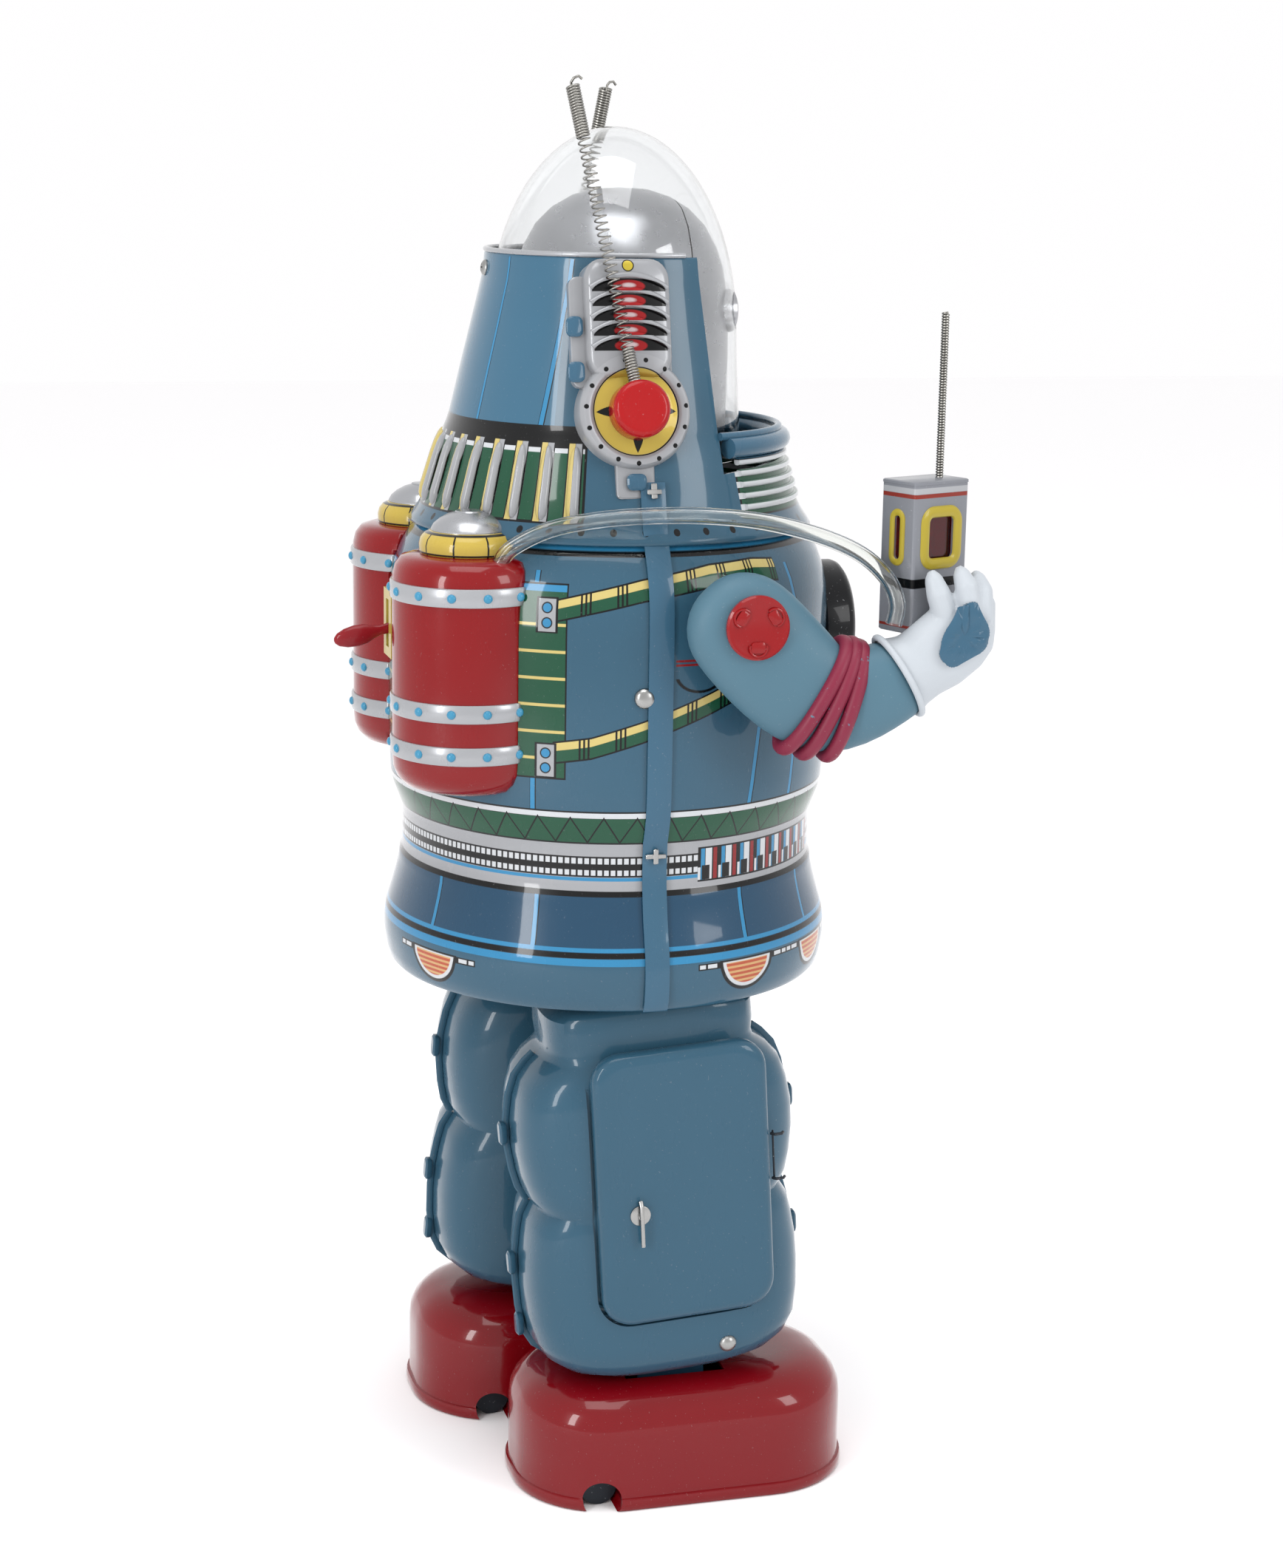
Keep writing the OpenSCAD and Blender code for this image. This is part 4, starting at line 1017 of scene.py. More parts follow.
def rod(name, points, radius, sides=3, closed=False):
    """A wire or a rolled edge along the points."""
    pick()
    bpy.ops.curve.primitive_nurbs_path_add()
    piece = bpy.context.object
    piece.name = name
    piece.data.splines.clear()
    line = piece.data.splines.new("POLY")
    line.points.add(len(points) - 1)
    for point, place in zip(line.points, points):
        point.co = (*(Vector(place) * MM), 1)
    line.use_cyclic_u = closed
    piece.data.bevel_depth = radius * MM
    piece.data.bevel_resolution = sides
    piece.data.use_fill_caps = True
    bpy.ops.object.convert(target="MESH")
    piece = bpy.context.object
    piece.data.name = name
    close_up(piece, keep_edge=50)
    return piece




def hoop(radius, height, start, end):
    """Points on a level arc, in degrees from straight ahead."""
    return [(radius * sin(radians(a)), -radius * cos(radians(a)), height) for a in range(start, end + 1, 3)]


ridges = joined("collar_ridges", [
    rod(
        "collar_ridge", hoop(43.2 - 0.31 * (height - 229.4), height, -60, 60), 0.85, sides=3
    ) for height in RIDGES
])
coat_in(ridges, cowl_litho)
rolled = joined("cowl_rolled_lip", [
    rod("collar_lip", hoop(39.0, 243.6, -63, 63), 2.3, sides=5),
    rod("lip_edge", hoop(38.4, 246.2, -66, 66), 0.9, sides=4)
])
coat_in(rolled, strip_paint)
rim = rod("dome_rim", hoop(28.9, 285.0, 72, 288), 0.6)
coat_in(rim, hoop_silver)
for piece, slot in ((ridges, "body_blue"), (rolled, "body_blue"), (rim, "plain_tin")):
    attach(piece, "body")

# ---- Clear dome ----
# A blown dome of thin clear plastic over the whole head. It tapers out at its foot, where it sits inside the
# cowl, and its cut edge shows as a bright line.
DOME_OUT = [(30.4, 239), (29.8, 243), (29.1, 252), (28.6, 261)] + [
    (28.4 * cos(radians(a)), 267 + 45.4 * sin(radians(a))) for a in range(0, 91, 5)
]
DOME_IN = [(27.95 * cos(radians(a)), 267 + 44.95 * sin(radians(a))) for a in range(90, -1, -5)] + [
    (28.15, 261), (28.65, 252), (29.35, 243), (29.95, 239), (30.4, 239)
]
bubble = drawn_up("clear_dome_shell", DOME_OUT + DOME_IN, sides=96)
coat_in(bubble, clear)
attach(bubble, "body")
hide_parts("clear_dome")

# ---- Head ----
# Two pressed halves of bright tin, a rear shell and a face with round eyes and a slotted mouth, with a small
# lamp inside. A narrow joint runs over the crown between them.


def brushed(name, colour, size=1.2, stretch=(1, 1, 0.08), rough=0.3, depth=0.12):
    """Bright metal with fine drawn lines and cloudy handling marks."""
    material = bpy.data.materials.new(name)
    material.use_nodes = True
    tree = material.node_tree
    shader = tree.nodes["Principled BSDF"]
    lines = noise(tree, size, 3, stretch)
    clouds = noise(tree, 14, 3)
    tone = over(tree, colour, ramp(tree, clouds, 0.35, 0.75), tuple(c * 0.78 for c in colour[:3]) + (1,))
    tree.links.new(tone, shader.inputs["Base Color"])
    tree.links.new(
        calc(tree, "ADD", rough - 0.06, calc(tree, "MULTIPLY", lines, 0.16)), shader.inputs["Roughness"]
    )
    shader.inputs["Metallic"].default_value = 1
    relief = tree.nodes.new("ShaderNodeBump")
    relief.inputs["Strength"].default_value = depth
    relief.inputs["Distance"].default_value = 0.0002
    tree.links.new(lines, relief.inputs["Height"])
    tree.links.new(relief.outputs["Normal"], shader.inputs["Normal"])
    return material


HEAD = [
    (24.6, 239), (24.8, 250), (25, 262), (24.9, 270), (24.4, 276), (23.5, 281.5), (21.9, 286), (19.2, 290.8),
    (15.5, 294.5),
    (11, 297.1), (6, 298.6), (0, 299)
]
SEAM_Y = -13
HEAD_Y = -1.6
tin_bright = brushed("head_tin", enamel(208, 209, 213), size=2.4, stretch=(0.15, 1, 1), rough=0.27)
skull = drawn_up("head_rear", HEAD, sides=96, across=(0, HEAD_Y))
face = copy_of(skull, "head_front")
trim(skull, (0, SEAM_Y + 0.18, 0), (0, -1, 0), fill=False)
trim(face, (0, SEAM_Y - 0.18, 0), (0, 1, 0), fill=False)
modify(skull, "SOLIDIFY", thickness=TIN * MM, offset=-1)
modify(face, "SOLIDIFY", thickness=TIN * MM, offset=-1)
for eye_x in (-8.5, 8.5):
    cut_with(face, opening_tool((eye_x, -26, 272), (0, 1, 0), 3.6, 14))
for row in range(3):
    pick()
    bpy.ops.mesh.primitive_cube_add(size=1, location=(0, -0.026, (253.7 + 3 * row) * MM))
    slit = bpy.context.object
    slit.scale = (0.014, 0.014, 0.0014)
    cut_with(face, slit)
eyes = []
for eye_x in (-8.5, 8.5):
    ring = drawn_up(
        "eye_ring", [(3.5, -3), (3.5, 0.9), (4.0, 1.3), (4.7, 0.9), (4.9, 0), (4.9, -3), (3.5, -3)], sides=40
    )
    eyes.append(put(ring, (eye_x, -24.9, 272), (0, -1, 0)))
eyes = joined("eye_rings", eyes)
for piece, node in ((skull, "head_shell"), (face, "head_face"), (eyes, "")):
    close_up(piece)
    coat_in(piece, tin_bright)
    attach(piece, "body")
    if node:
        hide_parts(node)
lamp_glow = finish("lamp_glass", enamel(236, 222, 180), rough=0.15, coat=0.6, fade=0.2)
coat_in(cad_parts["head_lamp"], lamp_glow)

# ---- Cowl screw ----
# A small plated cross-head screw at the back of the cowl's rim holds the dome.
screw = drawn_up(
    "cowl_cross_screw",
    [(0, -3), (0.8, -3), (0.8, 0), (1.75, 0), (1.8, 0.35), (1.5, 0.8), (0.9, 1.1), (0, 1.2)], sides=32
)
for spin in (0, 90):
    slot_tool = pressed("screw_slot", 1.9, 0.36, 0.05, [(0.7, 0), (2, 0)], segments=1)
    put(slot_tool, spin=spin)
    cut_with(screw, slot_tool)
put(screw, (0, 29.4, 281), (0, 1, 0.1))
coat_in(screw, bare_steel)
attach(screw, "body")
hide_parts("cowl_screw")

# ---- Ears ----
# Each ear is a pressed and printed silver housing with five hooded lamp windows over a round dial plate. Its
# flanges are held by tabs of the cowl that come through slots. A red knob turns the spring antenna.
EAR_AT, EAR_LEAN = (-36.4, 4.5, 251.7), radians(13)
EAR = Matrix.Translation(Vector(EAR_AT) * MM) @ Matrix.Rotation(EAR_LEAN, 4, "Y")
LOUVRES = [15.2, 18.4, 21.6, 24.8, 28.0]


def ear_place(tree):
    """Millimetres in the ear's own frame: outward, to the rear and up from the knob's axis."""
    x, y, z = position(tree)
    place = tree.nodes.new("ShaderNodeCombineXYZ")
    tree.links.new(calc(tree, "MULTIPLY", calc(tree, "ABSOLUTE", x), -1.0), place.inputs[0])
    tree.links.new(y, place.inputs[1])
    tree.links.new(z, place.inputs[2])
    level = tree.nodes.new("ShaderNodeMapping")
    level.vector_type = "TEXTURE"
    level.inputs["Location"].default_value = EAR_AT
    level.inputs["Rotation"].default_value = (0, EAR_LEAN, 0)
    tree.links.new(place.outputs[0], level.inputs["Vector"])
    apart = tree.nodes.new("ShaderNodeSeparateXYZ")
    tree.links.new(level.outputs[0], apart.inputs[0])
    return apart.outputs[1], apart.outputs[2]


def ear_print(tree):
    back, up = ear_place(tree)
    plate = over(
        tree, enamel(176, 178, 182),
        oval_mask(tree, calc(tree, "SUBTRACT", back, 0.8), calc(tree, "SUBTRACT", up, 31.4), 1.35), INK
    )
    plate = over(
        tree, plate,
        oval_mask(tree, calc(tree, "SUBTRACT", back, 0.8), calc(tree, "SUBTRACT", up, 31.4), 1.1),
        enamel(222, 198, 70)
    )
    across = calc(tree, "SUBTRACT", back, 0.8)
    for level in LOUVRES:
        high = calc(tree, "SUBTRACT", up, level - 2.2)
        mouth = both(
            tree, ramp(tree, oval(tree, across, high, 8.2, 2.8), 1.02, 0.98), ramp(tree, high, -0.05, 0.05)
        )
        plate = over(tree, plate, mouth, INK)
        bulb = ramp(tree, oval(tree, across, calc(tree, "SUBTRACT", high, 1.1), 3.7, 1.4), 1.05, 0.85)
        plate = over(tree, plate, both(tree, bulb, mouth), enamel(176, 30, 34))
        glint = ramp(tree, oval(tree, across, calc(tree, "SUBTRACT", high, 1.3), 1.6, 0.6), 1.3, 0.3)
        plate = over(tree, plate, both(tree, glint, mouth), enamel(236, 214, 216))
    far = calc(tree, "SQRT", oval(tree, back, up, 1.0, 1.0))
    turn = calc(tree, "MULTIPLY", calc(tree, "ARCTAN2", back, up), 180 / pi)
    on_disc = ramp(tree, far, 12.5, 12.4)
    plate = over(tree, plate, on_disc, enamel(184, 186, 190))
    swing = calc(
        tree, "MULTIPLY", calc(tree, "SUBTRACT", calc(tree, "FLOORED_MODULO", turn, 24.0), 12.0), 0.195
    )
    dots = oval_mask(tree, swing, calc(tree, "SUBTRACT", far, 11.2), 0.52)
    plate = over(tree, plate, both(tree, dots, on_disc), INK)
    plate = over(tree, plate, band(tree, far, 9.3, 9.6), INK)
    plate = over(tree, plate, ramp(tree, far, 9.35, 9.25), enamel(212, 184, 82))
    corner = calc(
        tree, "MULTIPLY",
        calc(
            tree, "ABSOLUTE",
            calc(tree, "SUBTRACT", calc(tree, "FLOORED_MODULO", calc(tree, "ADD", turn, 45.0), 90.0), 45.0)
        ),
        0.14
    )
    point = calc(tree, "SUBTRACT", calc(tree, "SUBTRACT", 9.0, far), calc(tree, "MULTIPLY", corner, 1.9))
    pointers = both(tree, ramp(tree, point, 0.0, 0.15), band(tree, far, 6, 9.1), ramp(tree, up, 5.6, 5.5))
    return over(tree, plate, pointers, INK)


ear_litho = finish("printed_ear", ear_print, rough=0.28, metal=0.25, coat=0.7, fade=0.1, dust=0.05)
knob_red = finish("knob_red", enamel(186, 24, 28), rough=0.24, coat=0.6, fade=0.1, ripple=0.2)
spring_steel = brushed("spring_steel", enamel(186, 184, 178), size=0.5, rough=0.3)


def on_ear(piece, at=(0, 0, 0), facing=(-1, 0, 0), spin=0.0):
    """Takes a piece made upright at the origin to the ear."""
    return put(piece, at, facing, spin, part=EAR)


# made flat: once it stands on the ear its width runs to the rear and its depth runs up
housing = pressed(
    "ear_housing", 19, 26, 4.4, [(-3.5, 0), (1.6, 0), (2.6, 0.2), (3.3, 0.8), (3.6, 1.7)], segments=6
)
on_ear(housing, (0, 0.8, 20.2))
flange = pressed("ear_flange", 22.4, 24, 2, [(-1.5, 0), (0.3, 0), (0.5, 0.2)], segments=4)
on_ear(flange, (0, 2.2, 17.5))
plate = drawn_up(
    "ear_dial",
    [
        (0, -4), (12.3, -4), (12.4, 1.2), (12.1, 2.3), (11.5, 2.9), (10.5, 3.0), (9.9, 2.7), (9.4, 2.2),
        (8.4, 2.5), (6.8, 3.0), (5, 3.2), (0, 3.2)
    ],
    sides=80
)
on_ear(plate)
foot = pressed("ear_foot", 8.6, 9, 1, [(-2.5, 0), (0.9, 0), (1.2, 0.3)], segments=3)
on_ear(foot, (0, 0.4, -14.2))
hoods = []
for level in LOUVRES:
    arc = []
    for step in range(13):
        share = -1 + step / 6
        arc.append((-3.55 - 0.55 * (1 - share * share), 0.8 + 8.6 * share, level + 1.3 - 2.7 * share * share))
    hood = rod("louvre_hood", arc, 0.62, sides=3)
    hood.matrix_world = EAR
    close_up(hood, keep_edge=50)
    hoods.append(hood)
ear = joined("ear_unit_R", [housing, flange, foot, *hoods, plate])
lugs = []
for back, up, spin in ((12.6, 18.6, 0), (12.6, 8.8, 0), (0.4, -15.2, 90)):
    lug = pressed("ear_lug", 3.6, 4.4, 1.2, [(0, 0.2), (0.3, 0), (1.0, 0), (1.3, 0.4)], segments=3)
    lugs.append(on_ear(lug, (-0.4 if back > 5 else -1.2, back, up), spin=spin))
lugs = joined("ear_lugs_R", lugs)
knob = drawn_up(
    "ear_knob_cap_R",
    [
        (0, 2.6), (6.1, 2.6), (6.3, 3.0), (6.3, 7.2), (6.15, 8.0), (5.6, 8.6), (4.8, 8.8), (4.2, 8.72),
        (0, 8.9)
    ],
    sides=64
)
on_ear(knob)


def coil(name, radius, wire, turns, low, high, facets=14):
    """A wound spring on the upright axis: a small ring of wire turned and lifted round it."""
    pick()
    bpy.ops.mesh.primitive_circle_add(
        vertices=7, radius=wire * MM, location=(radius * MM, 0, low * MM), rotation=(pi / 2, 0, 0)
    )
    piece = bpy.context.object
    piece.name = piece.data.name = name
    bpy.ops.object.transform_apply(location=True, rotation=True, scale=True)
    modify(
        piece, "SCREW", axis="Z", angle=2 * pi, screw_offset=(high - low) / turns * MM, iterations=turns,
        steps=facets,
        render_steps=facets, use_merge_vertices=False
    )
    bpy.ops.object.mode_set(mode="EDIT")
    bpy.ops.mesh.select_all(action="SELECT")
    bpy.ops.mesh.fill_holes(sides=8)
    bpy.ops.object.mode_set(mode="OBJECT")
    close_up(piece, keep_edge=60)
    return piece


def antenna(name, lean):
    """Close turns, thirty open turns, close turns again and a hooked tip, leaning to the rear by lean."""
    tip = rod(
        "spring_tip", [(1.1, 0, 70), (0.6, 0, 71.2), (0, -0.6, 71.9), (-0.4, -1.6, 72.1), (-0.2, -2.3, 71.4)],
        0.3
    )
    spring = joined(name, [
        coil("spring_foot", 1.15, 0.3, 12, 6.0, 13.5),
        coil("spring_open", 1.35, 0.2, 30, 13.5, 59.2, facets=12),
        coil("spring_top", 1.3, 0.3, 19, 59.2, 70.4), tip
    ])
    spring.matrix_world = EAR @ Matrix.Translation((-0.006, 0, 0)) @ Matrix.Rotation(radians(-lean), 4, "X")
    close_up(spring, keep_edge=60)
    return spring


spring_r = antenna("antenna_spring_R", 9.8)
spare = antenna("spring_pattern", -7.5)
spring_l = mirrored(spare, "antenna_spring_L")
bpy.data.objects.remove(spare)
for side_name, parts in (
    ("R", (ear, lugs, knob, spring_r)),
    (
        "L",
        (
            mirrored(ear, "ear_unit_L"), mirrored(lugs, "ear_lugs_L"), mirrored(knob, "ear_knob_cap_L"),
            spring_l
        )
    )
):
    for piece, material, slot, body, node in zip(
        parts, (ear_litho, strip_paint, knob_red, spring_steel),
        ("ear_silver", "body_blue", "knob_red", "spring_wire"),
        ("body", "body", "antenna_knob_" + side_name, "antenna_knob_" + side_name),
        ("ear_", "", "ear_knob_", "antenna_")
    ):
        coat_in(piece, material)
        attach(piece, body)
        if node:
            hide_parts(node + side_name)

# ---- Arms ----
# Soft moulded vinyl: a flat upper arm bent at the elbow, three painted rings in the crook, and a white glove
# whose cuff rolls over the wrist. A red disc with three tabs presses the arm onto its shoulder pin.
ARM_Y, ARM_Z = -15.7, 208.9


def loft(name, rings, sides=32, square=2.0):
    """Rings joined one to the next. A ring is (centre, across, up, half width, half height)."""
    hoops = []
    for centre, across, up, wide, tall in rings:
        pick()
        bpy.ops.mesh.primitive_circle_add(vertices=sides, radius=1)
        hoop = bpy.context.object
        if square != 2.0:
            for v in hoop.data.vertices:
                v.co.x = (1 if v.co.x > 0 else -1) * abs(v.co.x) ** (2 / square)
                v.co.y = (1 if v.co.y > 0 else -1) * abs(v.co.y) ** (2 / square)
        across, up = Vector(across).normalized(), Vector(up).normalized()
        hoop.matrix_world = Matrix.Translation(Vector(centre) * MM) @ Matrix(
            (across * wide * MM, up * tall * MM, across.cross(up))
        ).transposed().to_4x4()
        hoops.append(hoop)
    piece = joined(name, hoops)
    bpy.ops.object.transform_apply(location=True, rotation=True, scale=True)
    bpy.ops.object.mode_set(mode="EDIT")
    bpy.ops.mesh.select_all(action="SELECT")
    bpy.ops.mesh.bridge_edge_loops(type="SINGLE")
    bpy.ops.mesh.select_all(action="SELECT")
    bpy.ops.mesh.fill_holes(sides=0)
    bpy.ops.object.mode_set(mode="OBJECT")
    close_up(piece)
    return piece


def arm_ring(x, y, z, slope, wide, tall):
    """A ring across the arm, whose axis runs at slope degrees from straight ahead, down being negative."""
    return ((x, y, z), (1, 0, 0), (0, sin(radians(slope)), cos(radians(slope))), wide, tall)


ARM_RINGS = [
    arm_ring(-58.7, -6.3, 216.3, -47.2, 1.0, 2.0), arm_ring(-58.7, -6.8, 215.8, -47.2, 3.0, 4.8),
    arm_ring(-58.7, -8.0, 214.5, -47.2, 4.6, 7.9), arm_ring(-58.7, -9.8, 212.6, -47.2, 5.6, 10.3),
    arm_ring(-58.7, -12.2, 210.1, -47.2, 6.2, 12.1), arm_ring(-58.7, -16, 206.3, -47, 6.5, 12.9),
    arm_ring(-58.7, -21, 201, -45, 6.5, 13.0), arm_ring(-58.8, -26.2, 196, -37, 6.5, 12.9),
    arm_ring(-59, -31, 192.6, -22, 6.6, 12.5), arm_ring(-59.3, -35.6, 191.1, -6, 6.7, 11.8),
    arm_ring(-59.8, -40, 191.8, 14, 7.0, 10.8), arm_ring(-60.8, -44.4, 193.8, 27, 7.4, 9.8),
    arm_ring(-61.7, -48.6, 196.2, 30, 7.7, 9.1), arm_ring(-62, -49.8, 196.9, 30, 7.2, 8.6)
]
FINGERS = [
    ((-66.8, -58.6, 203), (-67.4, -57.6, 210), (-67.4, -55.6, 215.6), (-66.6, -54.6, 218.9), 2.7),
    ((-68, -61.4, 205), (-69.2, -62.4, 211.6), (-68.8, -61.4, 217.4), (-67.4, -60.6, 219.9), 2.6),
    ((-66.8, -63.4, 204.6), (-68.4, -65.6, 210.4), (-67.4, -65.6, 216), (-65.6, -65.0, 218.6), 2.5),
    ((-64.4, -64, 202.8), (-65.6, -67.4, 207.4), (-64.2, -67.8, 212.6), (-62.2, -67.2, 215), 2.4)
]
vinyl_blue = finish(
    "vinyl_blue", enamel(92, 131, 150), rough=0.46, fade=0.1, smudge=0.12, dust=0.15, ripple=0.35, bump=0.2
)
vinyl_white = finish(
    "vinyl_white", enamel(214, 221, 228), rough=0.4, fade=0.08, smudge=0.15, dust=0.0, ripple=0.4, bump=0.2
)
disc_red = finish("disc_red", enamel(164, 28, 32), rough=0.25, coat=0.7, fade=0.15, dust=0.1)


def chipped_paint(tree):
    """Raspberry paint on the vinyl, worn through to the blue in a few chips."""
    chips = ramp(tree, noise(tree, 2.2, 3), 0.69, 0.71)
    return over(tree, enamel(146, 46, 72), chips, enamel(104, 132, 152))


ring_paint = finish("ring_raspberry", chipped_paint, rough=0.42, fade=0.2, ripple=0.4, bump=0.25)
arm = loft("vinyl_arm_R", ARM_RINGS, sides=40, square=2.35)
modify(arm, "SUBSURF", levels=1, render_levels=1)
elbow_rings = []
for x, y, z, slope, wide, tall in (
    (-59.1, -30.8, 192.6, -31, 6.8, 13.2), (-59.2, -34.0, 191.8, -25, 6.9, 13.1),
    (-59.4, -37.4, 191.2, -17, 7.0, 12.4)
):
    loop = []
    for step in range(48):
        a = 2 * pi * step / 48
        c, s = cos(a), sin(a)
        across = wide * (1 if c > 0 else -1) * abs(c) ** 0.85
        up = tall * (1 if s > 0 else -1) * abs(s) ** 0.85
        loop.append((x + across, y + up * sin(radians(slope)), z + up * cos(radians(slope))))
    elbow_rings.append(rod("elbow_ring", loop, 1.7, sides=4, closed=True))
elbow = joined("elbow_rings_R", elbow_rings)
hand = [loft("glove_palm", [
    arm_ring(-61.9, -49.2, 196.7, 30, 8.2, 9.6), arm_ring(-62.3, -50.8, 197.7, 31, 7.6, 8.6),
    arm_ring(-63.4, -53.2, 199.2, 36, 6.4, 8.0), arm_ring(-64.8, -56.4, 201.6, 42, 5.8, 8.6),
    arm_ring(-65.8, -59.8, 204.8, 50, 5.6, 8.8), arm_ring(-66.2, -62, 207.6, 57, 5.2, 8.4),
    arm_ring(-66.2, -63.2, 210.4, 64, 4.2, 7.0), arm_ring(-66.2, -64, 212.4, 68, 2.4, 4.4)
], sides=28)]
for root, knuckle, joint, tip, radius in FINGERS:
    steps = [Vector(root), Vector(knuckle), Vector(joint), Vector(tip)]
    rings = []
    for number, place in enumerate(steps):
        way = (steps[min(number + 1, 3)] - steps[max(number - 1, 0)]).normalized()
        across = way.cross(Vector((0, 1, 0))).normalized()
        width = radius * (1, 1.04, 1, 0.72)[number]
        rings.append((place, across, way.cross(across), width, width))
    end = steps[3] + (steps[3] - steps[2]).normalized() * radius * 0.6
    rings.append((end, rings[3][1], rings[3][2], radius * 0.3, radius * 0.3))
    hand.append(loft("glove_finger", rings, sides=14))
glove = joined("vinyl_glove_R", hand)
modify(glove, "REMESH", mode="VOXEL", voxel_size=0.5 * MM)
modify(glove, "SMOOTH", factor=0.5, iterations=9)
cuff_line = []
for step in range(40):
    a = 2 * pi * step / 40
    cuff_line.append(
        (
            -61.9 + 8.3 * cos(a), -49.3 + 9.7 * sin(a) * sin(radians(30)),
            196.75 + 9.7 * sin(a) * cos(radians(30))
        )
    )
cuff = rod("glove_cuff_R", cuff_line, 0.75, sides=4, closed=True)
glove = joined("vinyl_glove_R", [cuff, glove])
PATCH = [
    (-71.2, -62.6, 215), (-71.2, -66.6, 208), (-71.2, -65.6, 203.6), (-71.2, -57.6, 199.4),
    (-71.2, -54.6, 202), (-71.2, -55.4, 207), (-71.2, -59.6, 213.6)
]
pick()
bpy.ops.mesh.primitive_circle_add(vertices=len(PATCH), radius=0.01, fill_type="NGON")
patch = bpy.context.object
patch.name = patch.data.name = "glove_patch_R"
for v, place in zip(patch.data.vertices, PATCH):
    v.co = Vector(place) * MM
bpy.ops.object.mode_set(mode="EDIT")
bpy.ops.mesh.select_all(action="SELECT")
bpy.ops.mesh.bevel(offset=1.3 * MM, segments=4, affect="VERTICES")
bpy.ops.mesh.select_all(action="SELECT")
bpy.ops.mesh.poke()
bpy.ops.mesh.subdivide(number_cuts=3)
bpy.ops.object.mode_set(mode="OBJECT")
modify(
    patch, "SHRINKWRAP", target=glove, wrap_method="PROJECT", use_project_x=True, use_negative_direction=True,
    use_positive_direction=True, offset=0.35 * MM
)
modify(patch, "SMOOTH", factor=0.5, iterations=2)
modify(patch, "SOLIDIFY", thickness=1.5 * MM, offset=0)
modify(patch, "BEVEL", width=0.4 * MM, segments=3, limit_method="ANGLE", angle_limit=radians(50))
close_up(patch, keep_edge=40)
disc_parts = [drawn_up(
    "disc_plate", [(0, 0), (6.9, 0), (7.05, 0.3), (7.0, 1.0), (6.6, 1.35), (5.9, 1.3), (5.4, 1.1), (0, 1.1)],
    sides=64
)]
for turn in (58, 180, 302):
    hook = rod("disc_fold", [
        (1.9 * cos(a), 1.9 * sin(a), 1.35) for a in (radians(step * 15) for step in range(-1, 14))
    ], 0.28, sides=2)
    hook.matrix_world = Matrix.Rotation(radians(turn), 4, "Z") @ Matrix.Translation((0, 0.0042, 0))
    close_up(hook)
    tab = pressed("disc_tab", 3.4, 2.6, 0.8, [(1.0, 0), (1.5, 0.1), (1.7, 0.45)], segments=3)
    tab.matrix_world = Matrix.Rotation(radians(turn), 4, "Z") @ Matrix.Translation((0, 0.0042, 0))
    close_up(tab)
    disc_parts += [hook, tab]
disc = joined("shoulder_plate_R", disc_parts)
put(disc, (-65.2, ARM_Y, ARM_Z), (-1, 0, 0))
pin = drawn_up("shoulder_pin_R", [(0, 0), (2.7, 0), (2.7, 19), (4.4, 19.2), (4.4, 20.4), (0, 20.6)], sides=32)
put(pin, (-65, ARM_Y, ARM_Z), (1, 0, 0))
lower = (
    Matrix.Translation((0, ARM_Y * MM, ARM_Z * MM)) @ Matrix.Rotation(radians(12), 4, "X")
    @ Matrix.Translation((0, -ARM_Y * MM, -ARM_Z * MM))
)
for piece, material, slot, node in (
    (arm, vinyl_blue, "vinyl_blue", "arm_"), (elbow, ring_paint, "vinyl_blue", ""),
    (glove, vinyl_white, "vinyl_white", "glove_"),
    (patch, strip_paint, "vinyl_white", ""), (disc, disc_red, "disc_red", "shoulder_disc_"),
    (pin, bare_steel, "disc_red", "")
):
    coat_in(piece, material)
    twin = copy_of(piece, piece.name[:-1] + "L")
    twin.matrix_world = lower @ Matrix.Diagonal((-1, 1, 1, 1))
    close_up(twin)
    for each, side_name in ((piece, "R"), (twin, "L")):
        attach(each, "arm_" + side_name)
        if node:
            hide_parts(node + side_name)

# ---- Hand radio ----
# A folded box of grey printed tin gripped in the right hand, with yellow framed red windows on two sides, a
# lid on top and a close-wound wire antenna.
RADIO = Matrix.Translation((-0.056, -0.0562, 0.206)) @ Matrix.Rotation(radians(23.3), 4, "Z")


def in_hand(piece, at=(0, 0, 0), facing=(0, 0, 1)):
    """Takes a piece made upright at the origin to the radio."""
    return put(piece, at, facing, part=RADIO, keep_edge=40)


def radio_print(tree):
    x, y, z = position(tree)
    up = calc(tree, "SUBTRACT", z, 206.0)
    box = over(tree, enamel(150, 153, 160), band(tree, up, 29.4, 30.3), enamel(158, 62, 52))
    box = over(tree, box, band(tree, up, 30.35, 31.6), enamel(196, 198, 202))
    box = over(tree, box, band(tree, up, 10.0, 12.0), INK)
    return over(tree, box, band(tree, up, 1.2, 1.8), enamel(158, 62, 52))


box = pressed(
    "radio_case", 10.5, 16, 0.7, [(0, 0.3), (0.3, 0), (32.2, 0), (32.25, -0.1), (32.8, -0.1), (33, 0.15)],
    segments=3
)
in_hand(box)
hollow = pressed("radio_hollow", 9.2, 14.7, 0.4, [(1, 0), (31.4, 0)], segments=2)
in_hand(hollow)
cut_with(box, hollow)
for facing, at, wide, tall, corner in (
    ((-1, 0, 0), (-5, 0, 20.7), 7.4, 9.4, 1.2), ((0, 1, 0), (0, 8, 20.7), 1.9, 9.6, 0.9)
):
    hole = pressed("radio_hole", wide, tall, corner, [(-1.5, 0), (1.5, 0)], segments=4)
    hole = in_hand(hole, at, facing)
    cut_with(box, hole)
close_up(box)
coat_in(box, finish("radio_grey", radio_print, rough=0.32, metal=0.2, coat=0.5, fade=0.2, dust=0.3))


